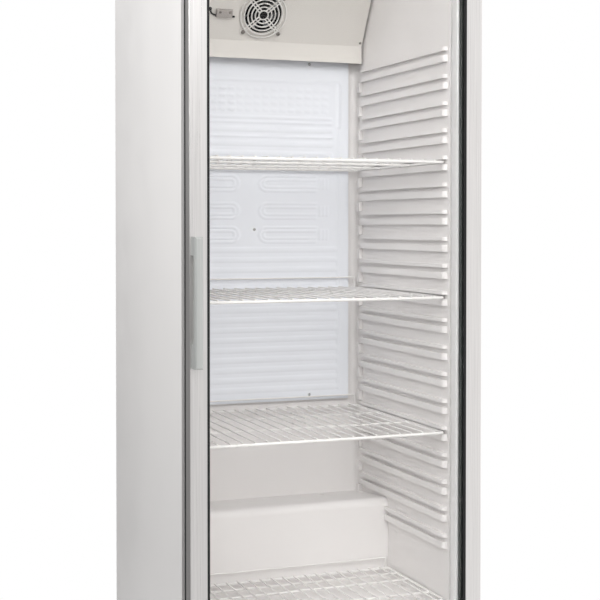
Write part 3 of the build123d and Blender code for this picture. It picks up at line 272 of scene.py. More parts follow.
black_rubber = dull("black_glazing_rubber", (0.012, 0.012, 0.013), 0.5, 700.0)
black_plastic = dull("black_moulded_plastic", (0.005, 0.005, 0.006), 0.7, 900.0)
spacer_dark = dull("glass_spacer_grey", (0.045, 0.052, 0.048), 0.45, 600.0)
seal_grey = dull("seal_grey_vinyl", (0.74, 0.725, 0.715), 0.48, 420.0, spread=0.04)
grey_plastic = dull("grey_moulded_plastic", (0.43, 0.40, 0.38), 0.45, 500.0, spread=0.05)
key_plastic = dull("key_plastic", (0.42, 0.42, 0.43), 0.4, 700.0, spread=0.04)
foam_skin = dull("foam_skin", (0.72, 0.62, 0.38), 0.7, 90.0, depth=0.0006, spread=0.08)
tray_plastic = dull("tray_plastic", (0.03, 0.03, 0.032), 0.38, 400.0)
black_enamel = powder_coat("black_enamel", (0.012, 0.012, 0.013), rough=0.28, peel=260.0)


# %% [markdown]
# The double glazing has to be seen through, and lamps have to shine through
# it, or the inside would go dark. A clear refracting shader does the first; its
# low index of refraction stands for a coating, so the panes hardly mirror. The
# second needs a plain see-through shader for light that goes on to a lamp,
# which a Light Path node picks out.

# %% Glass, lamp and display
def clear_glass(name):
    """Coated clear glass, nearly free of reflections, that lets lamps through."""
    material, shader = finish_base(name, (1.0, 0.998, 0.996), 0.0)
    shader.inputs["Transmission Weight"].default_value = 1.0
    shader.inputs["IOR"].default_value = 1.14
    tree_nodes, links = node_links(material)
    see_through = tree_nodes.new("ShaderNodeBsdfTransparent")
    see_through.inputs["Color"].default_value = (0.995, 0.995, 0.993, 1.0)
    shadow = tree_nodes.new("ShaderNodeLightPath").outputs["Is Shadow Ray"]
    mixed = mix_shaders(material.node_tree, shadow, shader.outputs["BSDF"], see_through.outputs["BSDF"])
    links.new(mixed, tree_nodes["Material Output"].inputs["Surface"])
    return material


def opal(name):
    """Opal lamp cover that glows softly."""
    color = (0.92, 0.92, 0.90)
    material, shader = finish_base(name, color, 0.35)
    vary(material, shader, color, 0.02, 0.35, 0.05, 40.0)
    shader.inputs["Emission Color"].default_value = (1.0, 0.98, 0.95, 1.0)
    shader.inputs["Emission Strength"].default_value = 1.2
    return material


glazing = clear_glass("float_glass")
lamp_opal = opal("lamp_opal")
plate_coat = powder_coat("plate_coating", (0.86, 0.885, 0.935), rough=0.4, peel=300.0, depth=0.00005)


# %% [markdown]
# Real parts have no knife edges. A copy of a model node is welded into one
# skin, its flat faces are cleaned, and a small bevel rounds its edges. The
# copy then stands for the node, which stays behind, hidden.

# %% Soft-edged copies of model nodes
def in_scene(name, data):
    """A new object with this data, linked to the scene."""
    thing = bpy.data.objects.new(name, data)
    bpy.context.scene.collection.objects.link(thing)
    return thing


def final_mesh(holder):
    """The mesh that an object's modifiers make. The object itself goes away."""
    graph = bpy.context.evaluated_depsgraph_get()
    mesh = bpy.data.meshes.new_from_object(holder.evaluated_get(graph))
    bpy.data.objects.remove(holder)
    return mesh


def mesh_from(work, name):
    """A mesh with the shape of a bmesh, which is freed."""
    mesh = bpy.data.meshes.new(name)
    work.to_mesh(mesh)
    work.free()
    return mesh


def finish_with(mesh, material):
    """Give a mesh one finish all over."""
    mesh.materials.clear()
    mesh.materials.append(material)


def shown_mesh(name, mesh, body, material, stands_for=()):
    """Put a finished mesh in the scene, on its body."""
    thing = in_scene(name, mesh)
    finish_with(mesh, material)
    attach(thing, body)
    if stands_for:
        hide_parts(*stands_for)
    return thing


def smooth_by_angle(mesh, degrees_=32.0):
    """Smooth shading with crisp edges above an angle."""
    mesh.polygons.foreach_set("use_smooth", [True] * len(mesh.polygons))
    mesh.set_sharp_from_angle(angle=math.radians(degrees_))


def body_of_node(node):
    """The CAD body a node rides on."""
    return nodes[node]["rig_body"]


def softened(node, width, material, segments=2, angle=30.0):
    """A copy of a CAD node with rounded edges, which stands for the node."""
    work = bmesh.new()
    work.from_mesh(nodes[node].data)
    bmesh.ops.remove_doubles(work, verts=work.verts, dist=0.00002)
    bmesh.ops.dissolve_limit(
        work, angle_limit=math.radians(1.0), verts=work.verts, edges=work.edges,
    )
    holder = in_scene(node + "_maker", mesh_from(work, node + "_edges"))
    bevel = holder.modifiers.new("edges", "BEVEL")
    bevel.width = width
    bevel.segments = segments
    bevel.limit_method = "ANGLE"
    bevel.angle_limit = math.radians(angle)
    bevel.miter_outer = "MITER_ARC"
    result = final_mesh(holder)
    smooth_by_angle(result)
    result.name = node + "_soft_mesh"
    thing = shown_mesh(node + "_soft", result, body_of_node(node), material, (node,))
    print(node, "softened,", len(result.polygons), "faces")
    return thing


# %% Finishes of the model's own pieces
finish_groups = (
    (white_paint, (
        "side_panel_left", "side_panel_right", "top_panel", "front_frame", "kick_plate",
        "control_fascia",
    )),
    (zinc_sheet, (
        "back_panel", "base_pan", "rear_grille", "condenser_shroud", "foot_front_left",
        "foot_front_right", "foot_rear_left", "foot_rear_right",
    )),
    (black_rubber, (
        "cable_gland", "probe_grommet", "probe_lead", "compressor_rubbers", "glazing_bead",
    )),
    (foam_skin, ("foam_insulation",)),
    (liner_white, ("inner_liner",)),
    (grey_plastic, ("drain_tube", "probe_bracket")),
    (black_plastic, (
        "controller_body", "fan_frame", "fan_rotor", "temperature_probe", "condenser_fan_rotor",
        "door_thermal_break",
    )),
    (plated_steel, (
        "lock_sleeve", "lock_barrel", "hinge_bracket_top", "hinge_bracket_bottom", "pan_screws",
    )),
    (lamp_opal, ("ceiling_lamp",)),
    (cover_paint, ("fan_cover",)),
    (wire_coat, ("fan_guard", "shelf_upper", "shelf_middle", "shelf_lower", "shelf_bottom")),
    (plate_coat, ("evaporator_plate",)),
    (trim_white, ("plate_standoffs", "door_inner_frame", "hinge_bushes")),
    (black_enamel, ("compressor",)),
    (fin_metal, ("condenser_coil",)),
    (copper, ("refrigerant_pipes",)),
    (tray_plastic, ("evaporation_tray",)),
    (seal_grey, ("door_gasket",)),
    (glazing, ("glass_panes",)),
    (spacer_dark, ("glass_spacer",)),
    (handle_aluminium, ("door_handle",)),
    (upright_aluminium, ("door_rail_left", "door_rail_right")),
    (level_aluminium, ("door_rail_top", "door_rail_bottom")),
    (key_plastic, ("key_set", "key_up", "key_down")),
)
finishes = {node: finish for finish, group in finish_groups for node in group}
for node_name, finish in finishes.items():
    finish_with(nodes[node_name].data, finish)
print("dressed", len(finishes), "of", len(nodes), "nodes")


# %% [markdown]
# Wire goods repeat the same bar many times, so Geometry Nodes make them. Each
# tree below is a short recipe with named sizes, put together from a few small
# steps: arithmetic, a straight line, round wire, and copies in a row.

# %% Geometry Nodes helpers
def new_recipe(name, sizes):
    """An empty node tree with one number input for each size, and its input node."""
    tree = bpy.data.node_groups.new(name, "GeometryNodeTree")
    tree.interface.new_socket("Geometry", in_out="OUTPUT", socket_type="NodeSocketGeometry")
    for label in sizes:
        kind = "NodeSocketInt" if isinstance(sizes[label], int) else "NodeSocketFloat"
        tree.interface.new_socket(label, in_out="INPUT", socket_type=kind)
    return tree, tree.nodes.new("NodeGroupInput").outputs


def feed(tree, socket, value):
    """Link another node's output to a socket, or set it to a number or vector."""
    if isinstance(value, bpy.types.NodeSocket):
        tree.links.new(value, socket)
    else:
        socket.default_value = value


def step(tree, kind, settings=None, **inputs):
    """Add a node. An input is a number, a vector or another node's output."""
    node = tree.nodes.new(kind)
    for label, value in (settings or {}).items():
        setattr(node, label, value)
    for label, value in inputs.items():
        feed(tree, node.inputs[label.replace("_", " ")], value)
    return node


def calc(tree, operation, a, b=0.0):
    """One step of arithmetic between numbers or outputs."""
    node = tree.nodes.new("ShaderNodeMath")
    node.operation = operation
    for socket, value in zip(node.inputs, (a, b)):
        feed(tree, socket, value)
    return node.outputs[0]


def vector(tree, x=0.0, y=0.0, z=0.0):
    """Three numbers or outputs as one vector."""
    return step(tree, "ShaderNodeCombineXYZ", X=x, Y=y, Z=z).outputs[0]


def bar(tree, curve, radius, sides=12):
    """Turn a curve into round wire."""
    ring = step(tree, "GeometryNodeCurvePrimitiveCircle", Resolution=sides, Radius=radius)
    wire = step(
        tree, "GeometryNodeCurveToMesh", Curve=curve, Profile_Curve=ring.outputs[0], Fill_Caps=True,
    )
    return wire.outputs[0]


def straight(tree, start, end):
    """A straight curve between two vectors."""
    return step(tree, "GeometryNodeCurvePrimitiveLine", Start=start, End=end).outputs[0]


def copies(tree, count, start, offset, shape):
    """The same shape at evenly spaced places."""
    row = step(tree, "GeometryNodeMeshLine", Count=count, Start_Location=start, Offset=offset)
    placed = step(tree, "GeometryNodeInstanceOnPoints", Points=row.outputs[0], Instance=shape)
    return placed.outputs[0]


def close_recipe(tree, shapes, material):
    """Join the shapes, make the copies real and give them their finish."""
    join = tree.nodes.new("GeometryNodeJoinGeometry")
    for shape in shapes:
        tree.links.new(shape, join.inputs[0])
    real = step(tree, "GeometryNodeRealizeInstances", Geometry=join.outputs[0])
    finish = step(tree, "GeometryNodeSetMaterial", Geometry=real.outputs[0], Material=material)
    output = tree.nodes.new("NodeGroupOutput")
    tree.links.new(finish.outputs[0], output.inputs[0])


def make(tree, sizes, name):
    """Run a recipe with its sizes, and return the plain mesh it makes."""
    holder = in_scene(name + "_maker", bpy.data.meshes.new(name + "_empty"))
    modifier = holder.modifiers.new("recipe", "NODES")
    modifier.node_group = tree
    for item in tree.interface.items_tree:
        if item.in_out == "INPUT" and item.name in sizes:
            modifier[item.identifier] = sizes[item.name]
    mesh = final_mesh(holder)
    mesh.name = name + "_mesh"
    smooth_by_angle(mesh, 40.0)
    print(name, "made,", len(mesh.polygons), "faces")
    return mesh


# %% [markdown]
# A shelf is welded from coated wire: a heavy frame bent round the outside,
# cross wires under the grid, thin wires from front to back, and a low rail at
# the rear that keeps goods off the cold plate. The frame's size comes from the
# shelf's own model box, so the recipe serves the deep and the short shelves.

# %% Wire shelves
def shelf_recipe(name, cross_shares, sizes):
    """The node tree of a shelf whose cross wires lie at these shares of its depth."""
    tree, size = new_recipe(name, sizes)
    half = size["Half Width"]
    front, back, level = size["Front"], size["Back"], size["Level"]
    thick, fine = size["Frame Radius"], size["Wire Radius"]
    depth = calc(tree, "SUBTRACT", back, front)
    middle = calc(tree, "MULTIPLY", calc(tree, "ADD", front, back), 0.5)
    outline = step(
        tree, "GeometryNodeCurvePrimitiveQuadrilateral",
        Width=calc(tree, "MULTIPLY", half, 2.0), Height=depth,
    )
    rounded = step(
        tree, "GeometryNodeFilletCurve", {"mode": "POLY"}, Curve=outline.outputs[0],
        Radius=size["Corner"], Count=6,
    )
    placed = step(
        tree, "GeometryNodeTransform", Geometry=rounded.outputs[0],
        Translation=vector(tree, 0.0, middle, level),
    )
    shapes = [bar(tree, placed.outputs[0], thick, 16)]
    left = calc(tree, "MULTIPLY", half, -1.0)
    for share in cross_shares:
        y = calc(tree, "ADD", front, calc(tree, "MULTIPLY", depth, share))
        cross = straight(tree, vector(tree, left, y, level), vector(tree, half, y, level))
        shapes.append(bar(tree, cross, calc(tree, "MULTIPLY", thick, 0.8)))
    grid_level = calc(tree, "ADD", level, calc(tree, "MULTIPLY", calc(tree, "ADD", thick, fine), 0.92))
    grid = straight(tree, vector(tree), vector(tree, 0.0, depth, 0.0))
    gaps = calc(tree, "SUBTRACT", size["Count"], 1.0)
    first = calc(tree, "MULTIPLY", size["Pitch"], calc(tree, "MULTIPLY", gaps, -0.5))
    pitch = vector(tree, size["Pitch"], 0.0, 0.0)
    start = vector(tree, first, front, grid_level)
    shapes.append(copies(tree, size["Count"], start, pitch, bar(tree, grid, fine)))
    behind = size["Rail Depth"]
    post = straight(tree, vector(tree), vector(tree, 0.0, 0.0, size["Rail Height"]))
    rail_half = size["Rail Half"]
    top = calc(tree, "ADD", level, size["Rail Height"])
    rail_left = calc(tree, "MULTIPLY", rail_half, -1.0)
    corner = step(tree, "GeometryNodeMeshUVSphere", Segments=12, Rings=8, Radius=fine).outputs[0]
    across = straight(tree, vector(tree, rail_left, behind, top), vector(tree, rail_half, behind, top))
    shapes.append(bar(tree, across, fine))
    ends = vector(tree, calc(tree, "MULTIPLY", rail_half, 2.0), 0.0, 0.0)
    shapes.append(copies(tree, 2, vector(tree, rail_left, behind, level), ends, bar(tree, post, fine)))
    shapes.append(copies(tree, 2, vector(tree, rail_left, behind, top), ends, corner))
    close_recipe(tree, shapes, wire_coat)
    return tree


def wire_shelf(node, cross_shares):
    """A finished shelf in the place of its model node."""
    low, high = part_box(node)
    thick, fine = 0.003, 0.0015
    weld_depth = 0.0004
    rail_inset = 0.009
    sizes = {
        "Half Width": high.x - thick,
        "Front": low.y + thick,
        "Back": high.y - 2 * fine - thick + weld_depth,
        "Level": low.z + thick,
        "Frame Radius": thick,
        "Wire Radius": fine,
        "Corner": 0.010,
        "Pitch": 0.0252,
        "Count": 19,
        "Rail Height": high.z - low.z - thick - fine,
        "Rail Depth": high.y - fine,
        "Rail Half": high.x - rail_inset,
    }
    tree = shelf_recipe(node + "_recipe", cross_shares, sizes)
    return shown_mesh(node + "_wires", make(tree, sizes, node), node, wire_coat, (node,))


for shelf in ("shelf_upper", "shelf_middle", "shelf_lower"):
    wire_shelf(shelf, (0.36, 0.71))
wire_shelf("shelf_bottom", (0.24, 0.63, 0.83))


# %% [markdown]
# The evaporator is two aluminium sheets bonded flat, with the refrigerant's
# channels blown up between them. The channels follow drawn lines, so a fine
# grid is raised wherever it lies near one of those lines: a height field. The
# section of each channel is a low arc, steep at its edges, as on the real one.

# %% Evaporator plate
plate_low, plate_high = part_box("evaporator_plate")
channel_room = 0.003
plate_face = plate_low.y + channel_room
middle_screw_level = plate_low.z + 0.391

# Levels and half widths of the long channels below the rows of dimples.
long_channels = (
    (0.253, 0.0032), (0.242, 0.0032), (0.226, 0.0058),
    (0.210, 0.0034), (0.194, 0.0058), (0.172, 0.0052),
)


def near_segment(x, z, start, end):
    """Distance of every grid point to a straight line."""
    ax, az = start
    bx, bz = end
    along = ((x - ax) * (bx - ax) + (z - az) * (bz - az)) / ((bx - ax) ** 2 + (bz - az) ** 2)
    along = np.clip(along, 0.0, 1.0)
    return np.hypot(x - ax - along * (bx - ax), z - az - along * (bz - az))


def near_bend(x, z, centre, radius, side):
    """Distance of every grid point to a half circle that bulges to one side."""
    dx, dz = x - centre[0], z - centre[1]
    arc = np.abs(np.hypot(dx, dz) - radius)
    ends = np.minimum(np.hypot(dx, dz - radius), np.hypot(dx, dz + radius))
    return np.where(dx * side >= 0, arc, ends)


def arc_section(distance, half_width, height):
    """Height of a flat-topped channel at a distance from its middle line."""
    inside = np.clip(1.0 - (distance / half_width) ** 2, 0.0, 1.0)
    return height * inside ** 0.38


def plate_heights(x, z):
    """Raised pattern over the plate, with z measured from the middle screw."""
    height = np.zeros_like(x)

    def raise_near(distance, half_width, up=0.0013):
        nonlocal height
        height = np.maximum(height, arc_section(distance, half_width, up))

    def raise_line(start, end, half_width, up=0.0013):
        raise_near(near_segment(x, z, start, end), half_width, up)

    left, right = -0.205, 0.205
    raise_line((left, 0.336), (right, 0.336), 0.0034)
    for row in range(4):
        for column in range(19):
            spot = (left + 0.008 + column * 0.0205, 0.270 + row * 0.0157)
            up = 0.0019 if column < 8 else 0.0008
            raise_line((spot[0] - 0.0042, spot[1]), (spot[0] + 0.0042, spot[1]), 0.0044, up)
    for level, half_width in long_channels:
        raise_line((left, level), (right - 0.018, level), half_width)
    raise_line((right, 0.236), (right, 0.330), 0.0046, 0.0024)
    raise_line((right, 0.160), (right, 0.230), 0.0030, 0.0011)
    for level in (0.104, 0.042, -0.012):
        for gap, half_width in ((0.0165, 0.0032), (0.0085, 0.0030)):
            for side in (-1, 1):
                raise_line((left, level + side * gap), (-0.054, level + side * gap), half_width)
                raise_line((0.030, level + side * gap), (0.150, level + side * gap), half_width, 0.0010)
            raise_near(near_bend(x, z, (-0.054, level), gap, 1), half_width)
            raise_near(near_bend(x, z, (0.030, level), gap, -1), half_width)
        for x_bar in (0.160, 0.169, 0.178):
            raise_line((x_bar, level - 0.010), (x_bar, level + 0.010), 0.0026, 0.0013)
    for level in (0.146, 0.132):
        raise_line((left, level), (right - 0.022, level), 0.0036, 0.0012)
    for row in range(15):
        level = -0.046 - row * 0.0226
        raise_line((left, level), (right - 0.008, level), 0.0060, 0.0010)
    raise_line((right, -0.366), (right, 0.150), 0.0032, 0.0012)
    raise_line((left, -0.366), (left, 0.336), 0.0032, 0.0012)
    return height


def plate_mesh():
    """A closed thin slab whose front follows the raised pattern."""
    columns, rows = 150, 520
    xs = np.linspace(plate_low.x, plate_high.x, columns)
    zs = np.linspace(plate_low.z, plate_high.z, rows)
    x, z = np.meshgrid(xs, zs)
    up = plate_heights(x, z - middle_screw_level)
    front = np.stack([x, plate_face - up, z], axis=-1).reshape(-1, 3)
    back = np.stack([x, np.full_like(x, plate_high.y), z], axis=-1)
    rim = [(r, 0) for r in range(rows)] + [(rows - 1, c) for c in range(1, columns)]
    rim += [(r, columns - 1) for r in range(rows - 2, -1, -1)]
    rim += [(0, c) for c in range(columns - 2, 0, -1)]
    rim_back = np.array([back[r, c] for r, c in rim])
    count = rows * columns
    faces = []
    for r in range(rows - 1):
        for c in range(columns - 1):
            a = r * columns + c
            faces.append((a, a + 1, a + columns + 1, a + columns))
    for i, (r, c) in enumerate(rim):
        r2, c2 = rim[(i + 1) % len(rim)]
        faces.append((r * columns + c, r2 * columns + c2, count + (i + 1) % len(rim), count + i))
    faces.append(tuple(count + i for i in range(len(rim))))
    mesh = bpy.data.meshes.new("plate_mesh")
    mesh.from_pydata(np.vstack([front, rim_back]).tolist(), [], faces)
    mesh.update()
    tidy = bmesh.new()
    tidy.from_mesh(mesh)
    bmesh.ops.recalc_face_normals(tidy, faces=tidy.faces)
    tidy.to_mesh(mesh)
    tidy.free()
    smooth_by_angle(mesh, 50.0)
    print("evaporator plate,", len(mesh.polygons), "faces")
    return mesh


shown_mesh("evaporator_sheet", plate_mesh(), "cabinet", plate_coat, ("evaporator_plate",))


# %% [markdown]
# The fan sits behind the sloping panel, so everything on that panel is easiest
# to draw flat: x to the right, y up the slope and z out of the panel. The axis
# of the fan's own joint gives that plane, and a matrix takes the drawn shapes
# to their place.

# %% The fan's plane
fan_joint = next(joint for joint in frame["joints"] if joint["name"] == "air_fan_spin")
fan_out = Vector(fan_joint["axis"]).normalized()
if fan_out.y > 0:
    fan_out.negate()
fan_up = fan_out.cross(Vector((1.0, 0.0, 0.0))).normalized()
if fan_up.z < 0:
    fan_up.negate()
guard_low, guard_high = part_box("fan_guard")
guard_middle = (guard_low + guard_high) / 2
fan_frame_low, fan_frame_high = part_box("fan_frame")
fan_size = fan_frame_high.x - fan_frame_low.x
fan_plane = Matrix((
    (1.0, fan_up.x, fan_out.x, 0.0),
    (0.0, fan_up.y, fan_out.y, 0.0),
    (0.0, fan_up.z, fan_out.z, 0.0),
    (0.0, 0.0, 0.0, 1.0),
))
guard_half_depth = 0.0035
fan_plane.translation = guard_middle - fan_out * guard_half_depth
print("fan faces", [round(v, 3) for v in fan_out])


def placed(mesh, matrix=fan_plane):
    """Move a mesh that was drawn flat to its place."""
    mesh.transform(matrix)
    mesh.update()
    return mesh


# %% [markdown]
# The guard is a set of rings on four pairs of spokes, with a tab at the end of
# each pair. One ring is drawn, and copies of it grow ring by ring; the growth
# is made real before the wire gets its thickness, so every ring has the same
# wire.

# %% Fan guard
def turned(tree, shape, degrees_):
    """The shape turned about the fan's axis."""
    return step(
        tree, "GeometryNodeTransform", Geometry=shape,
        Rotation=(0.0, 0.0, math.radians(degrees_)),
    ).outputs[0]


def guard_recipe(sizes):
    """Node tree of the wire guard, drawn flat."""
    tree, size = new_recipe("guard_recipe", sizes)
    circle = step(tree, "GeometryNodeCurvePrimitiveCircle", Resolution=72, Radius=1.0).outputs[0]
    line = step(tree, "GeometryNodeMeshLine", Count=size["Rings"], Offset=vector(tree)).outputs[0]
    index = tree.nodes.new("GeometryNodeInputIndex").outputs[0]
    radius = calc(tree, "ADD", size["First Radius"], calc(tree, "MULTIPLY", index, size["Pitch"]))
    grown = step(
        tree, "GeometryNodeInstanceOnPoints", Points=line, Instance=circle,
        Scale=vector(tree, radius, radius, radius),
    ).outputs[0]
    rings = step(tree, "GeometryNodeRealizeInstances", Geometry=grown).outputs[0]
    wires = [bar(tree, rings, size["Wire Radius"], 10)]
    half = calc(tree, "MULTIPLY", size["Spoke Gap"], 0.5)
    below = calc(tree, "MULTIPLY", size["Wire Radius"], -0.7)
    for side in (-1.0, 1.0):
        offset = calc(tree, "MULTIPLY", half, side)
        spoke_start = vector(tree, size["First Radius"], offset, below)
        spoke_end = vector(tree, size["Reach"], offset, below)
        wires.append(bar(tree, straight(tree, spoke_start, spoke_end), size["Wire Radius"], 10))
    tab = step(
        tree, "GeometryNodeMeshCylinder", Vertices=32, Radius=size["Tab Radius"],
        Depth=size["Tab Height"],
    ).outputs[0]
    spot = vector(tree, size["Reach"], 0.0, calc(tree, "MULTIPLY", size["Tab Height"], -0.5))
    wires.append(step(tree, "GeometryNodeTransform", Geometry=tab, Translation=spot).outputs[0])
    arm = tree.nodes.new("GeometryNodeJoinGeometry")
    for wire in wires[1:]:
        tree.links.new(wire, arm.inputs[0])
    arms = [turned(tree, arm.outputs[0], 45.0 + 90.0 * quarter) for quarter in range(4)]
    close_recipe(tree, [wires[0], *arms], guard_plastic)
    return tree


guard_plastic = moulded_sheet("guard_plastic", (0.80, 0.785, 0.76), rough=0.34)
# A square fan of 92 mm has its screw holes 82.5 mm apart, and the spokes lie
# along its diagonals.
hole_spacing = fan_size * 82.5 / 92.0
screw_reach = hole_spacing / math.sqrt(2.0)
tab_top = 0.0042
guard_sizes = {
    "Rings": 6,
    "First Radius": 0.0105,
    "Pitch": 0.0084,
    "Wire Radius": 0.0016,
    "Spoke Gap": 0.0064,
    "Reach": screw_reach,
    "Tab Radius": 0.0058,
    "Tab Height": 0.0022,
}
guard_mesh = make(guard_recipe(guard_sizes), guard_sizes, "fan_guard_wires")
guard_mesh.transform(Matrix.Translation((0.0, 0.0, tab_top)))
shown_mesh("fan_guard_wires", placed(guard_mesh), "cabinet", guard_plastic, ("fan_guard",))


# %% [markdown]
# A fan blade is thin, twisted and swept: it stands steep at the hub and lies
# flatter at the tip. Each blade is a small grid of points worked out from its
# radius and its place across the blade, doubled for thickness.

# %% Fan rotor
def turn_about_z(work, profile, steps, weld=0.00001):
    """Turn points of (radius, height) about Z, as one skin in a bmesh."""
    points = [work.verts.new((r, 0.0, z)) for r, z in profile]
    edges = [work.edges.new(pair) for pair in zip(points, points[1:])]
    bmesh.ops.spin(
        work, geom=points + edges, angle=math.tau, steps=steps, use_merge=True,
        axis=(0.0, 0.0, 1.0), cent=(0.0, 0.0, 0.0),
    )
    bmesh.ops.remove_doubles(work, verts=work.verts, dist=weld)


def fan_blade(root, tip, turn, steps=8):
    """Points and faces of one twisted blade on the Z axis, as (vertices, faces)."""
    vertices = []
    for face_side in (1, -1):
        for i in range(steps + 1):
            share = i / steps
            radius = root + (tip - root) * share
            pitch = math.radians(52.0 - 26.0 * share)
            chord = 0.019 + 0.008 * share
            sweep = 0.35 * share
            for j in range(steps + 1):
                across = (j / steps - 0.5) * chord
                camber = 0.0016 * (1 - (2 * j / steps - 1) ** 2)
                thick = face_side * 0.0006 * (1 - 0.6 * abs(2 * j / steps - 1))
                angle = turn + sweep + across * math.cos(pitch) / radius
                height = across * math.sin(pitch) + camber + thick
                vertices.append((radius * math.cos(angle), radius * math.sin(angle), height))
    row = steps + 1
    half = row * row
    faces = []
    for i in range(steps):
        for j in range(steps):
            a = i * row + j
            faces.append((a, a + row, a + row + 1, a + 1))
            faces.append((half + a, half + a + 1, half + a + row + 1, half + a + row))
    edge = [i * row for i in range(row)] + [steps * row + j for j in range(1, row)]
    edge += [i * row + steps for i in range(steps - 1, -1, -1)] + list(range(steps - 1, 0, -1))
    for a, b in zip(edge, edge[1:] + edge[:1]):
        faces.append((a, b, half + b, half + a))
    return vertices, faces


def rotor_mesh(radius, hub_radius, hub_height, blades):
    """A closed hub with swept blades around it, drawn flat about its middle."""
    work = bmesh.new()
    profile = [(0.0, hub_height), (hub_radius * 0.86, hub_height), (hub_radius, hub_height * 0.7)]
    profile += [(hub_radius, -hub_height), (0.0, -hub_height)]
    turn_about_z(work, profile, 48)
    for blade_index in range(blades):
        vertices, faces = fan_blade(hub_radius * 0.94, radius, math.tau * blade_index / blades)
        made = [work.verts.new(v) for v in vertices]
        for face in faces:
            work.faces.new([made[i] for i in face])
    bmesh.ops.recalc_face_normals(work, faces=work.faces)
    mesh = mesh_from(work, "rotor_mesh")
    smooth_by_angle(mesh, 45.0)
    return mesh


rotor_low, rotor_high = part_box("fan_rotor")
rotor_matrix = fan_plane.copy()
rotor_matrix.translation = (rotor_low + rotor_high) / 2
rotor_radius = (rotor_high.x - rotor_low.x) / 2
rotor = rotor_mesh(rotor_radius, hub_radius=0.018, hub_height=0.007, blades=7)
shown_mesh(
    "fan_blades", placed(rotor, rotor_matrix), "fan_rotor", black_plastic,
    ("fan_rotor",),
)
print("fan rotor,", len(rotor.polygons), "faces")


# %% [markdown]
# Screws repeat all over the object. The model holds every screw as a loose
# island of its one screw node, so each island's middle gives a place. A single
# pan head with a cross slot is drawn once, and Geometry Nodes stand a copy on
# every place, turned to face out of the panel it holds.

# %% Screws
def islands(node):
    """Low and high corners of the separate shells of a CAD node."""
    work = bmesh.new()
    work.from_mesh(nodes[node].data)
    bmesh.ops.remove_doubles(work, verts=work.verts, dist=0.00002)
    left = set(work.verts)
    found = []
    while left:
        stack = [left.pop()]
        shell = list(stack)
        while stack:
            for edge in stack.pop().link_edges:
                for vert in edge.verts:
                    if vert in left:
                        left.remove(vert)
                        stack.append(vert)
                        shell.append(vert)
        points = np.array([v.co for v in shell])
        found.append((points.min(0), points.max(0)))
    work.free()
    return found


def pan_head():
    """A pan head of one unit radius on its washer, with a cross slot, facing +Z."""
    work = bmesh.new()
    dome = [(0.0, 0.55), (0.35, 0.54), (0.62, 0.47), (0.80, 0.33), (0.86, 0.16)]
    washer = [(1.0, 0.14), (1.0, 0.0), (0.0, 0.0)]
    turn_about_z(work, dome + washer, 24, weld=0.0001)
    bmesh.ops.recalc_face_normals(work, faces=work.faces)
    head = in_scene("pan_head_maker", mesh_from(work, "pan_head"))
    cutters = []
    for turn in (45.0, 135.0):
        cut = bmesh.new()
        size = Matrix.Rotation(math.radians(turn), 4, "Z") @ Matrix.Diagonal((1.0, 0.17, 0.5, 1.0))
        bmesh.ops.create_cube(cut, size=1.0, matrix=Matrix.Translation((0.0, 0.0, 0.52)) @ size)
        cutter = in_scene("slot_maker", mesh_from(cut, "slot"))
        cutters.append(cutter)
        modifier = head.modifiers.new("slot", "BOOLEAN")
        modifier.object = cutter
        modifier.solver = "EXACT"
    cut_head = final_mesh(head)
    for cutter in cutters:
        bpy.data.objects.remove(cutter)
    smooth_by_angle(cut_head, 35.0)
    return cut_head


head_mesh = pan_head()


def screw_recipe(name, head, material):
    """A tree that stands a head on every point, facing the way the point says."""
    tree = bpy.data.node_groups.new(name, "GeometryNodeTree")
    tree.interface.new_socket("Geometry", in_out="INPUT", socket_type="NodeSocketGeometry")
    tree.interface.new_socket("Geometry", in_out="OUTPUT", socket_type="NodeSocketGeometry")
    points = tree.nodes.new("NodeGroupInput").outputs[0]
    facing = step(tree, "GeometryNodeInputNamedAttribute", {"data_type": "FLOAT_VECTOR"}, Name="facing")
    size = step(tree, "GeometryNodeInputNamedAttribute", {"data_type": "FLOAT"}, Name="radius")
    turn = step(tree, "FunctionNodeAlignRotationToVector", {"axis": "Z"}, Vector=facing.outputs[0])
    shape = tree.nodes.new("GeometryNodeObjectInfo")
    shape.inputs["Object"].default_value = head
    radius = size.outputs[0]
    stood = step(
        tree, "GeometryNodeInstanceOnPoints", Points=points, Instance=shape.outputs["Geometry"],
        Rotation=turn.outputs[0], Scale=vector(tree, radius, radius, radius),
    )
    close_recipe(tree, [stood.outputs[0]], material)
    return tree


def stand_screws(name, rows, material, body, stands_for=()):
    """Screws at rows of (place, facing, radius), as one piece."""
    mesh = bpy.data.meshes.new(name + "_places")
    mesh.from_pydata([tuple(place) for place, facing, radius in rows], [], [])
    mesh.attributes.new("facing", "FLOAT_VECTOR", "POINT").data.foreach_set(
        "vector", [c for place, facing, radius in rows for c in facing],
    )
    mesh.attributes.new("radius", "FLOAT", "POINT").data.foreach_set("value", [row[2] for row in rows])
    head = in_scene("head_maker", head_mesh)
    holder = in_scene(name + "_maker", mesh)
    recipe = screw_recipe(name + "_recipe", head, material)
    holder.modifiers.new("screws", "NODES").node_group = recipe
    made = final_mesh(holder)
    bpy.data.objects.remove(head)
    smooth_by_angle(made, 35.0)
    print(name, len(rows), "screws,", len(made.polygons), "faces")
    return shown_mesh(name, made, body, material, stands_for)
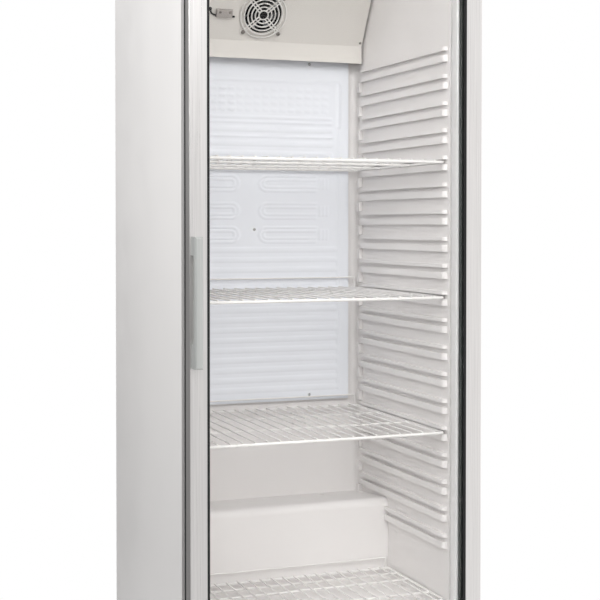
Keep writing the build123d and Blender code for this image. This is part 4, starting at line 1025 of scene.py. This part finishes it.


# The screws on the fan's panel and on the probe clip get a darker grey zinc than the plated screws on
# the plate.
dark_zinc = plain_metal("dark_grey_zinc", (0.30, 0.28, 0.26), 0.42, 300.0)
fan_screw_radius, panel_screw_radius, plate_screw_radius = 0.0050, 0.0030, 0.0034
upright_screw_size = 0.009
plate_screw_height = 0.0018
fan_surroundings = 0.08
plate_screw_rows = []
panel_screw_rows = []
for low, high in islands("pan_screws"):
    middle = Vector((low + high) / 2)
    if high[1] > plate_low.y and (high[2] - low[2]) < upright_screw_size:
        place = Vector((middle.x, low[1] + plate_screw_height, middle.z))
        plate_screw_rows.append((place, (0.0, -1.0, 0.0), plate_screw_radius))
        continue
    flat = fan_plane.inverted() @ middle
    near_fan = math.hypot(flat.x, flat.y) < fan_surroundings
    place = fan_plane @ Vector((flat.x, flat.y, tab_top if near_fan else 0.0))
    radius = fan_screw_radius if near_fan else panel_screw_radius
    panel_screw_rows.append((place, tuple(fan_out), radius))
stand_screws("panel_screws", panel_screw_rows, dark_zinc, "cabinet", ("pan_screws",))
stand_screws("plate_screws", plate_screw_rows, plated_steel, "cabinet")


# %% [markdown]
# A small moulded clip holds the temperature probe on the panel. Its lead comes
# through the panel in a rubber grommet and bends down into the clip. All of
# these are drawn on the fan's plane. The lead is a smooth curve with a round
# section, turned into a mesh.

# %% Probe, clip and lead
def bevelled_box(low, high, width, name):
    """A box with rounded edges, drawn between two corners."""
    work = bmesh.new()
    low, high = Vector(low), Vector(high)
    place = Matrix.Translation((low + high) / 2) @ Matrix.Diagonal((*(high - low), 1.0))
    bmesh.ops.create_cube(work, size=1.0, matrix=place)
    bmesh.ops.bevel(
        work, geom=work.edges[:], offset=width, segments=3, profile=0.5, affect="EDGES",
    )
    return mesh_from(work, name)


def joined(meshes, name):
    """Several meshes as one."""
    work = bmesh.new()
    for mesh in meshes:
        work.from_mesh(mesh)
    result = mesh_from(work, name)
    smooth_by_angle(result, 35.0)
    return result


def turned_profile(profile, name):
    """A closed shape turned about Z from points of (radius, height)."""
    work = bmesh.new()
    turn_about_z(work, profile, 32)
    bmesh.ops.recalc_face_normals(work, faces=work.faces)
    mesh = mesh_from(work, name)
    smooth_by_angle(mesh, 40.0)
    return mesh


def round_wire(points, radius, name):
    """A smooth wire through control points, as a closed mesh."""
    curve = bpy.data.curves.new(name, "CURVE")
    curve.dimensions = "3D"
    curve.bevel_depth = radius
    curve.bevel_resolution = 4
    curve.use_fill_caps = True
    spline = curve.splines.new("NURBS")
    spline.points.add(len(points) - 1)
    for point, place in zip(spline.points, points):
        point.co = (*place, 1.0)
    spline.order_u = 4
    spline.use_endpoint_u = True
    mesh = final_mesh(in_scene(name + "_maker", curve))
    smooth_by_angle(mesh, 60.0)
    return mesh


clip_left, clip_right, clip_low, clip_high = -0.1090, -0.0710, -0.0105, 0.0080
base_corners = (clip_left, clip_low, 0.0), (clip_right, clip_high, 0.0020)
body_low = (clip_left + 0.001, clip_low + 0.0002, 0.0)
body_high = (clip_right - 0.001, clip_high - 0.001, 0.0075)
clip = joined([
    bevelled_box(*base_corners, 0.0004, "clip_base"),
    bevelled_box(body_low, body_high, 0.0012, "clip_body"),
], "probe_clip_mesh")
shown_mesh("probe_clip", placed(clip), "cabinet", grey_plastic, ("probe_bracket",))
clip_screws = [
    (fan_plane @ Vector((x, 0.0023, 0.0072)), tuple(fan_out), 0.0033)
    for x in (clip_left + 0.0083, clip_right - 0.0073)
]
stand_screws("clip_screws", clip_screws, dark_zinc, "cabinet")
tip_profile = [(0.0, 0.0), (0.0022, 0.0), (0.0022, 0.042)]
tip_profile += [(0.0018, 0.0435), (0.0009, 0.0444), (0.0, 0.0446)]
tip = turned_profile(tip_profile, "probe_tip_mesh")
tip_place = Matrix.Translation((clip_left, clip_low + 0.0027, 0.0026))
tip.transform(tip_place @ Matrix.Rotation(math.radians(90.0), 4, "Y"))
shown_mesh("probe_tip", placed(tip), "cabinet", black_plastic, ("temperature_probe",))
grommet_x, grommet_y = clip_left - 0.0142, 0.0062
grommet_profile = [(0.0, -0.0030), (0.0046, -0.0030), (0.0046, 0.0008)]
grommet_profile += [(0.0040, 0.0018), (0.0028, 0.0024), (0.0, 0.0024)]
grommet = turned_profile(grommet_profile, "grommet_mesh")
grommet.transform(Matrix.Translation((grommet_x, grommet_y, 0.0)))
shown_mesh(
    "probe_grommet_ring", placed(grommet), "cabinet", black_rubber,
    ("probe_grommet",),
)
lead = round_wire(
    [
        (grommet_x, grommet_y, 0.0), (grommet_x, grommet_y, 0.0058),
        (grommet_x + 0.0010, grommet_y - 0.0060, 0.0066),
        (clip_left - 0.0080, clip_low + 0.0066, 0.0046),
        (clip_left - 0.0030, clip_low + 0.0046, 0.0036), (clip_left + 0.002, clip_low + 0.0046, 0.0034),
    ],
    0.0018, "probe_lead_curve",
)
shown_mesh("probe_lead_wire", placed(lead), "cabinet", black_rubber, ("probe_lead",))


# %% [markdown]
# Most other pieces only need their edges broken. The widths below are what a
# folded sheet, a casting or a moulding of that size really has. The lining, the
# fan's cover and the rear grille keep the model's own shape, because a bevel
# leaves creases in their faces.

# %% Broken edges
edge_widths = {
    "door_inner_frame": 0.0016,
    "door_gasket": 0.0024,
    "control_fascia": 0.0006,
    "controller_body": 0.0005,
    "kick_plate": 0.0005,
    "front_frame": 0.0004,
    "side_panel_left": 0.0004,
    "side_panel_right": 0.0004,
    "hinge_bracket_top": 0.0006,
    "hinge_bracket_bottom": 0.0006,
    "fan_frame": 0.0006,
    "compressor": 0.0010,
    "evaporation_tray": 0.0008,
    "lock_barrel": 0.0004,
    "lock_sleeve": 0.0005,
    "foot_front_left": 0.0006,
    "foot_front_right": 0.0006,
    "foot_rear_left": 0.0006,
    "foot_rear_right": 0.0006,
}
for node_name, width in edge_widths.items():
    softened(node_name, width, finishes[node_name])


# %% [markdown]
# The camera stands to the left of the door, level with its upper half, and
# looks slightly down. The view is wider below that height than above it, so
# the lens is shifted down rather than turned.

# %% Camera
eye_left, eye_before, eye_height = 0.6701, 2.3089, 1.000
degrees_down, degrees_right = 1.06, 20.98
door_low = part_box("door_rail_left")[0]
camera_data = bpy.data.cameras.new("camera")
camera = in_scene("camera", camera_data)
camera.location = (door_low.x - eye_left, door_low.y - eye_before, eye_height)
camera.rotation_euler = (math.radians(90.0 - degrees_down), 0.0, math.radians(-degrees_right))
camera_data.lens = 79.27
camera_data.sensor_width = 36.0
camera_data.shift_y = -0.085
camera_data.clip_start = 0.05
camera_data.clip_end = 60.0
bpy.context.scene.camera = camera


# %% [markdown]
# The surround is a studio, not a sky: bright on the right and dim on the left.
# Bare metal shows what it mirrors, so this is what makes the faces of the
# aluminium bright and its left sides grey. The camera itself sees plain white
# there, which a Light Path node picks out. Three soft lamps do the rest: one
# before the left corner reaches in to the right-hand wall, one stands high in
# front, and one at the side lights the side panel from above.

# %% Surround
scene = bpy.context.scene
scene.view_settings.view_transform = "Standard"


def shade_by(tree, value, from_low, from_high, to_low, to_high):
    """Brightness that runs smoothly from one number to another as a direction changes."""
    node = tree.nodes.new("ShaderNodeMapRange")
    node.interpolation_type = "SMOOTHSTEP"
    numbers = (from_low, from_high, to_low, to_high)
    for label, number in zip(("From Min", "From Max", "To Min", "To Max"), numbers):
        node.inputs[label].default_value = number
    tree.links.new(value, node.inputs["Value"])
    return node.outputs["Result"]


def studio_surround(dim, bright):
    """World light that grows from dim on the left to bright on the right."""
    world = bpy.data.worlds.new("studio")
    world.use_nodes = True
    tree = world.node_tree
    plain = tree.nodes["Background"]
    plain.inputs["Color"].default_value = (1.0, 1.0, 1.0, 1.0)
    place = tree.nodes.new("ShaderNodeTexCoord")
    axes = tree.nodes.new("ShaderNodeSeparateXYZ")
    tree.links.new(place.outputs["Generated"], axes.inputs[0])
    lit = tree.nodes.new("ShaderNodeBackground")
    lit.inputs["Color"].default_value = (1.0, 0.99, 0.985, 1.0)
    across = shade_by(tree, axes.outputs["X"], -0.3, 0.7, dim, bright)
    tree.links.new(across, lit.inputs["Strength"])
    seen = tree.nodes.new("ShaderNodeLightPath").outputs["Is Camera Ray"]
    mixed = mix_shaders(tree, seen, lit.outputs[0], plain.outputs[0])
    tree.links.new(mixed, tree.nodes["World Output"].inputs["Surface"])
    return world


scene.world = studio_surround(dim=0.20, bright=1.12)


# %% Lamps
def soft_lamp(name, place, target, size, power):
    """A square area lamp that looks at a point."""
    data = bpy.data.lights.new(name, "AREA")
    data.shape = "SQUARE"
    data.size = size
    data.energy = power
    lamp = in_scene(name, data)
    lamp.location = place
    lamp.rotation_euler = (Vector(target) - Vector(place)).to_track_quat("-Z", "Y").to_euler()
    return lamp


soft_lamp("corner_lamp", (-2.6, -2.6, 2.6), (0.0, -0.1, 1.1), 1.6, 34.0)
soft_lamp("front_lamp", (-0.55, -3.4, 3.0), (0.0, 0.0, 1.1), 2.2, 49.0)
soft_lamp("side_lamp", (-3.2, 0.6, 2.9), (-0.3, 0.0, 1.3), 1.8, 100.0)


# %% [markdown]
# The floor is a pale round patch that fades away at its rim, so that the
# object stands on something and the white surround still begins close behind.

# %% Floor
def fading_floor(name, color, inner, outer):
    """Pale floor paint that turns clear between two distances from the middle."""
    material = powder_coat(name, color, rough=0.6, peel=60.0)
    tree_nodes, links = node_links(material)
    place = tree_nodes.new("ShaderNodeTexCoord")
    length = tree_nodes.new("ShaderNodeVectorMath")
    length.operation = "LENGTH"
    links.new(place.outputs["Object"], length.inputs[0])
    fade = shade_by(material.node_tree, length.outputs["Value"], inner, outer, 0.0, 1.0)
    clear = tree_nodes.new("ShaderNodeBsdfTransparent")
    paint = tree_nodes["Principled BSDF"]
    mixed = mix_shaders(material.node_tree, fade, paint.outputs[0], clear.outputs[0])
    links.new(mixed, tree_nodes["Material Output"].inputs["Surface"])
    return material


disc = bmesh.new()
bmesh.ops.create_circle(disc, cap_ends=True, segments=96, radius=1.4)
floor = in_scene("floor", mesh_from(disc, "floor"))
floor_paint = fading_floor("pale_floor", (0.80, 0.80, 0.80), inner=0.48, outer=0.74)
floor.data.materials.append(floor_paint)
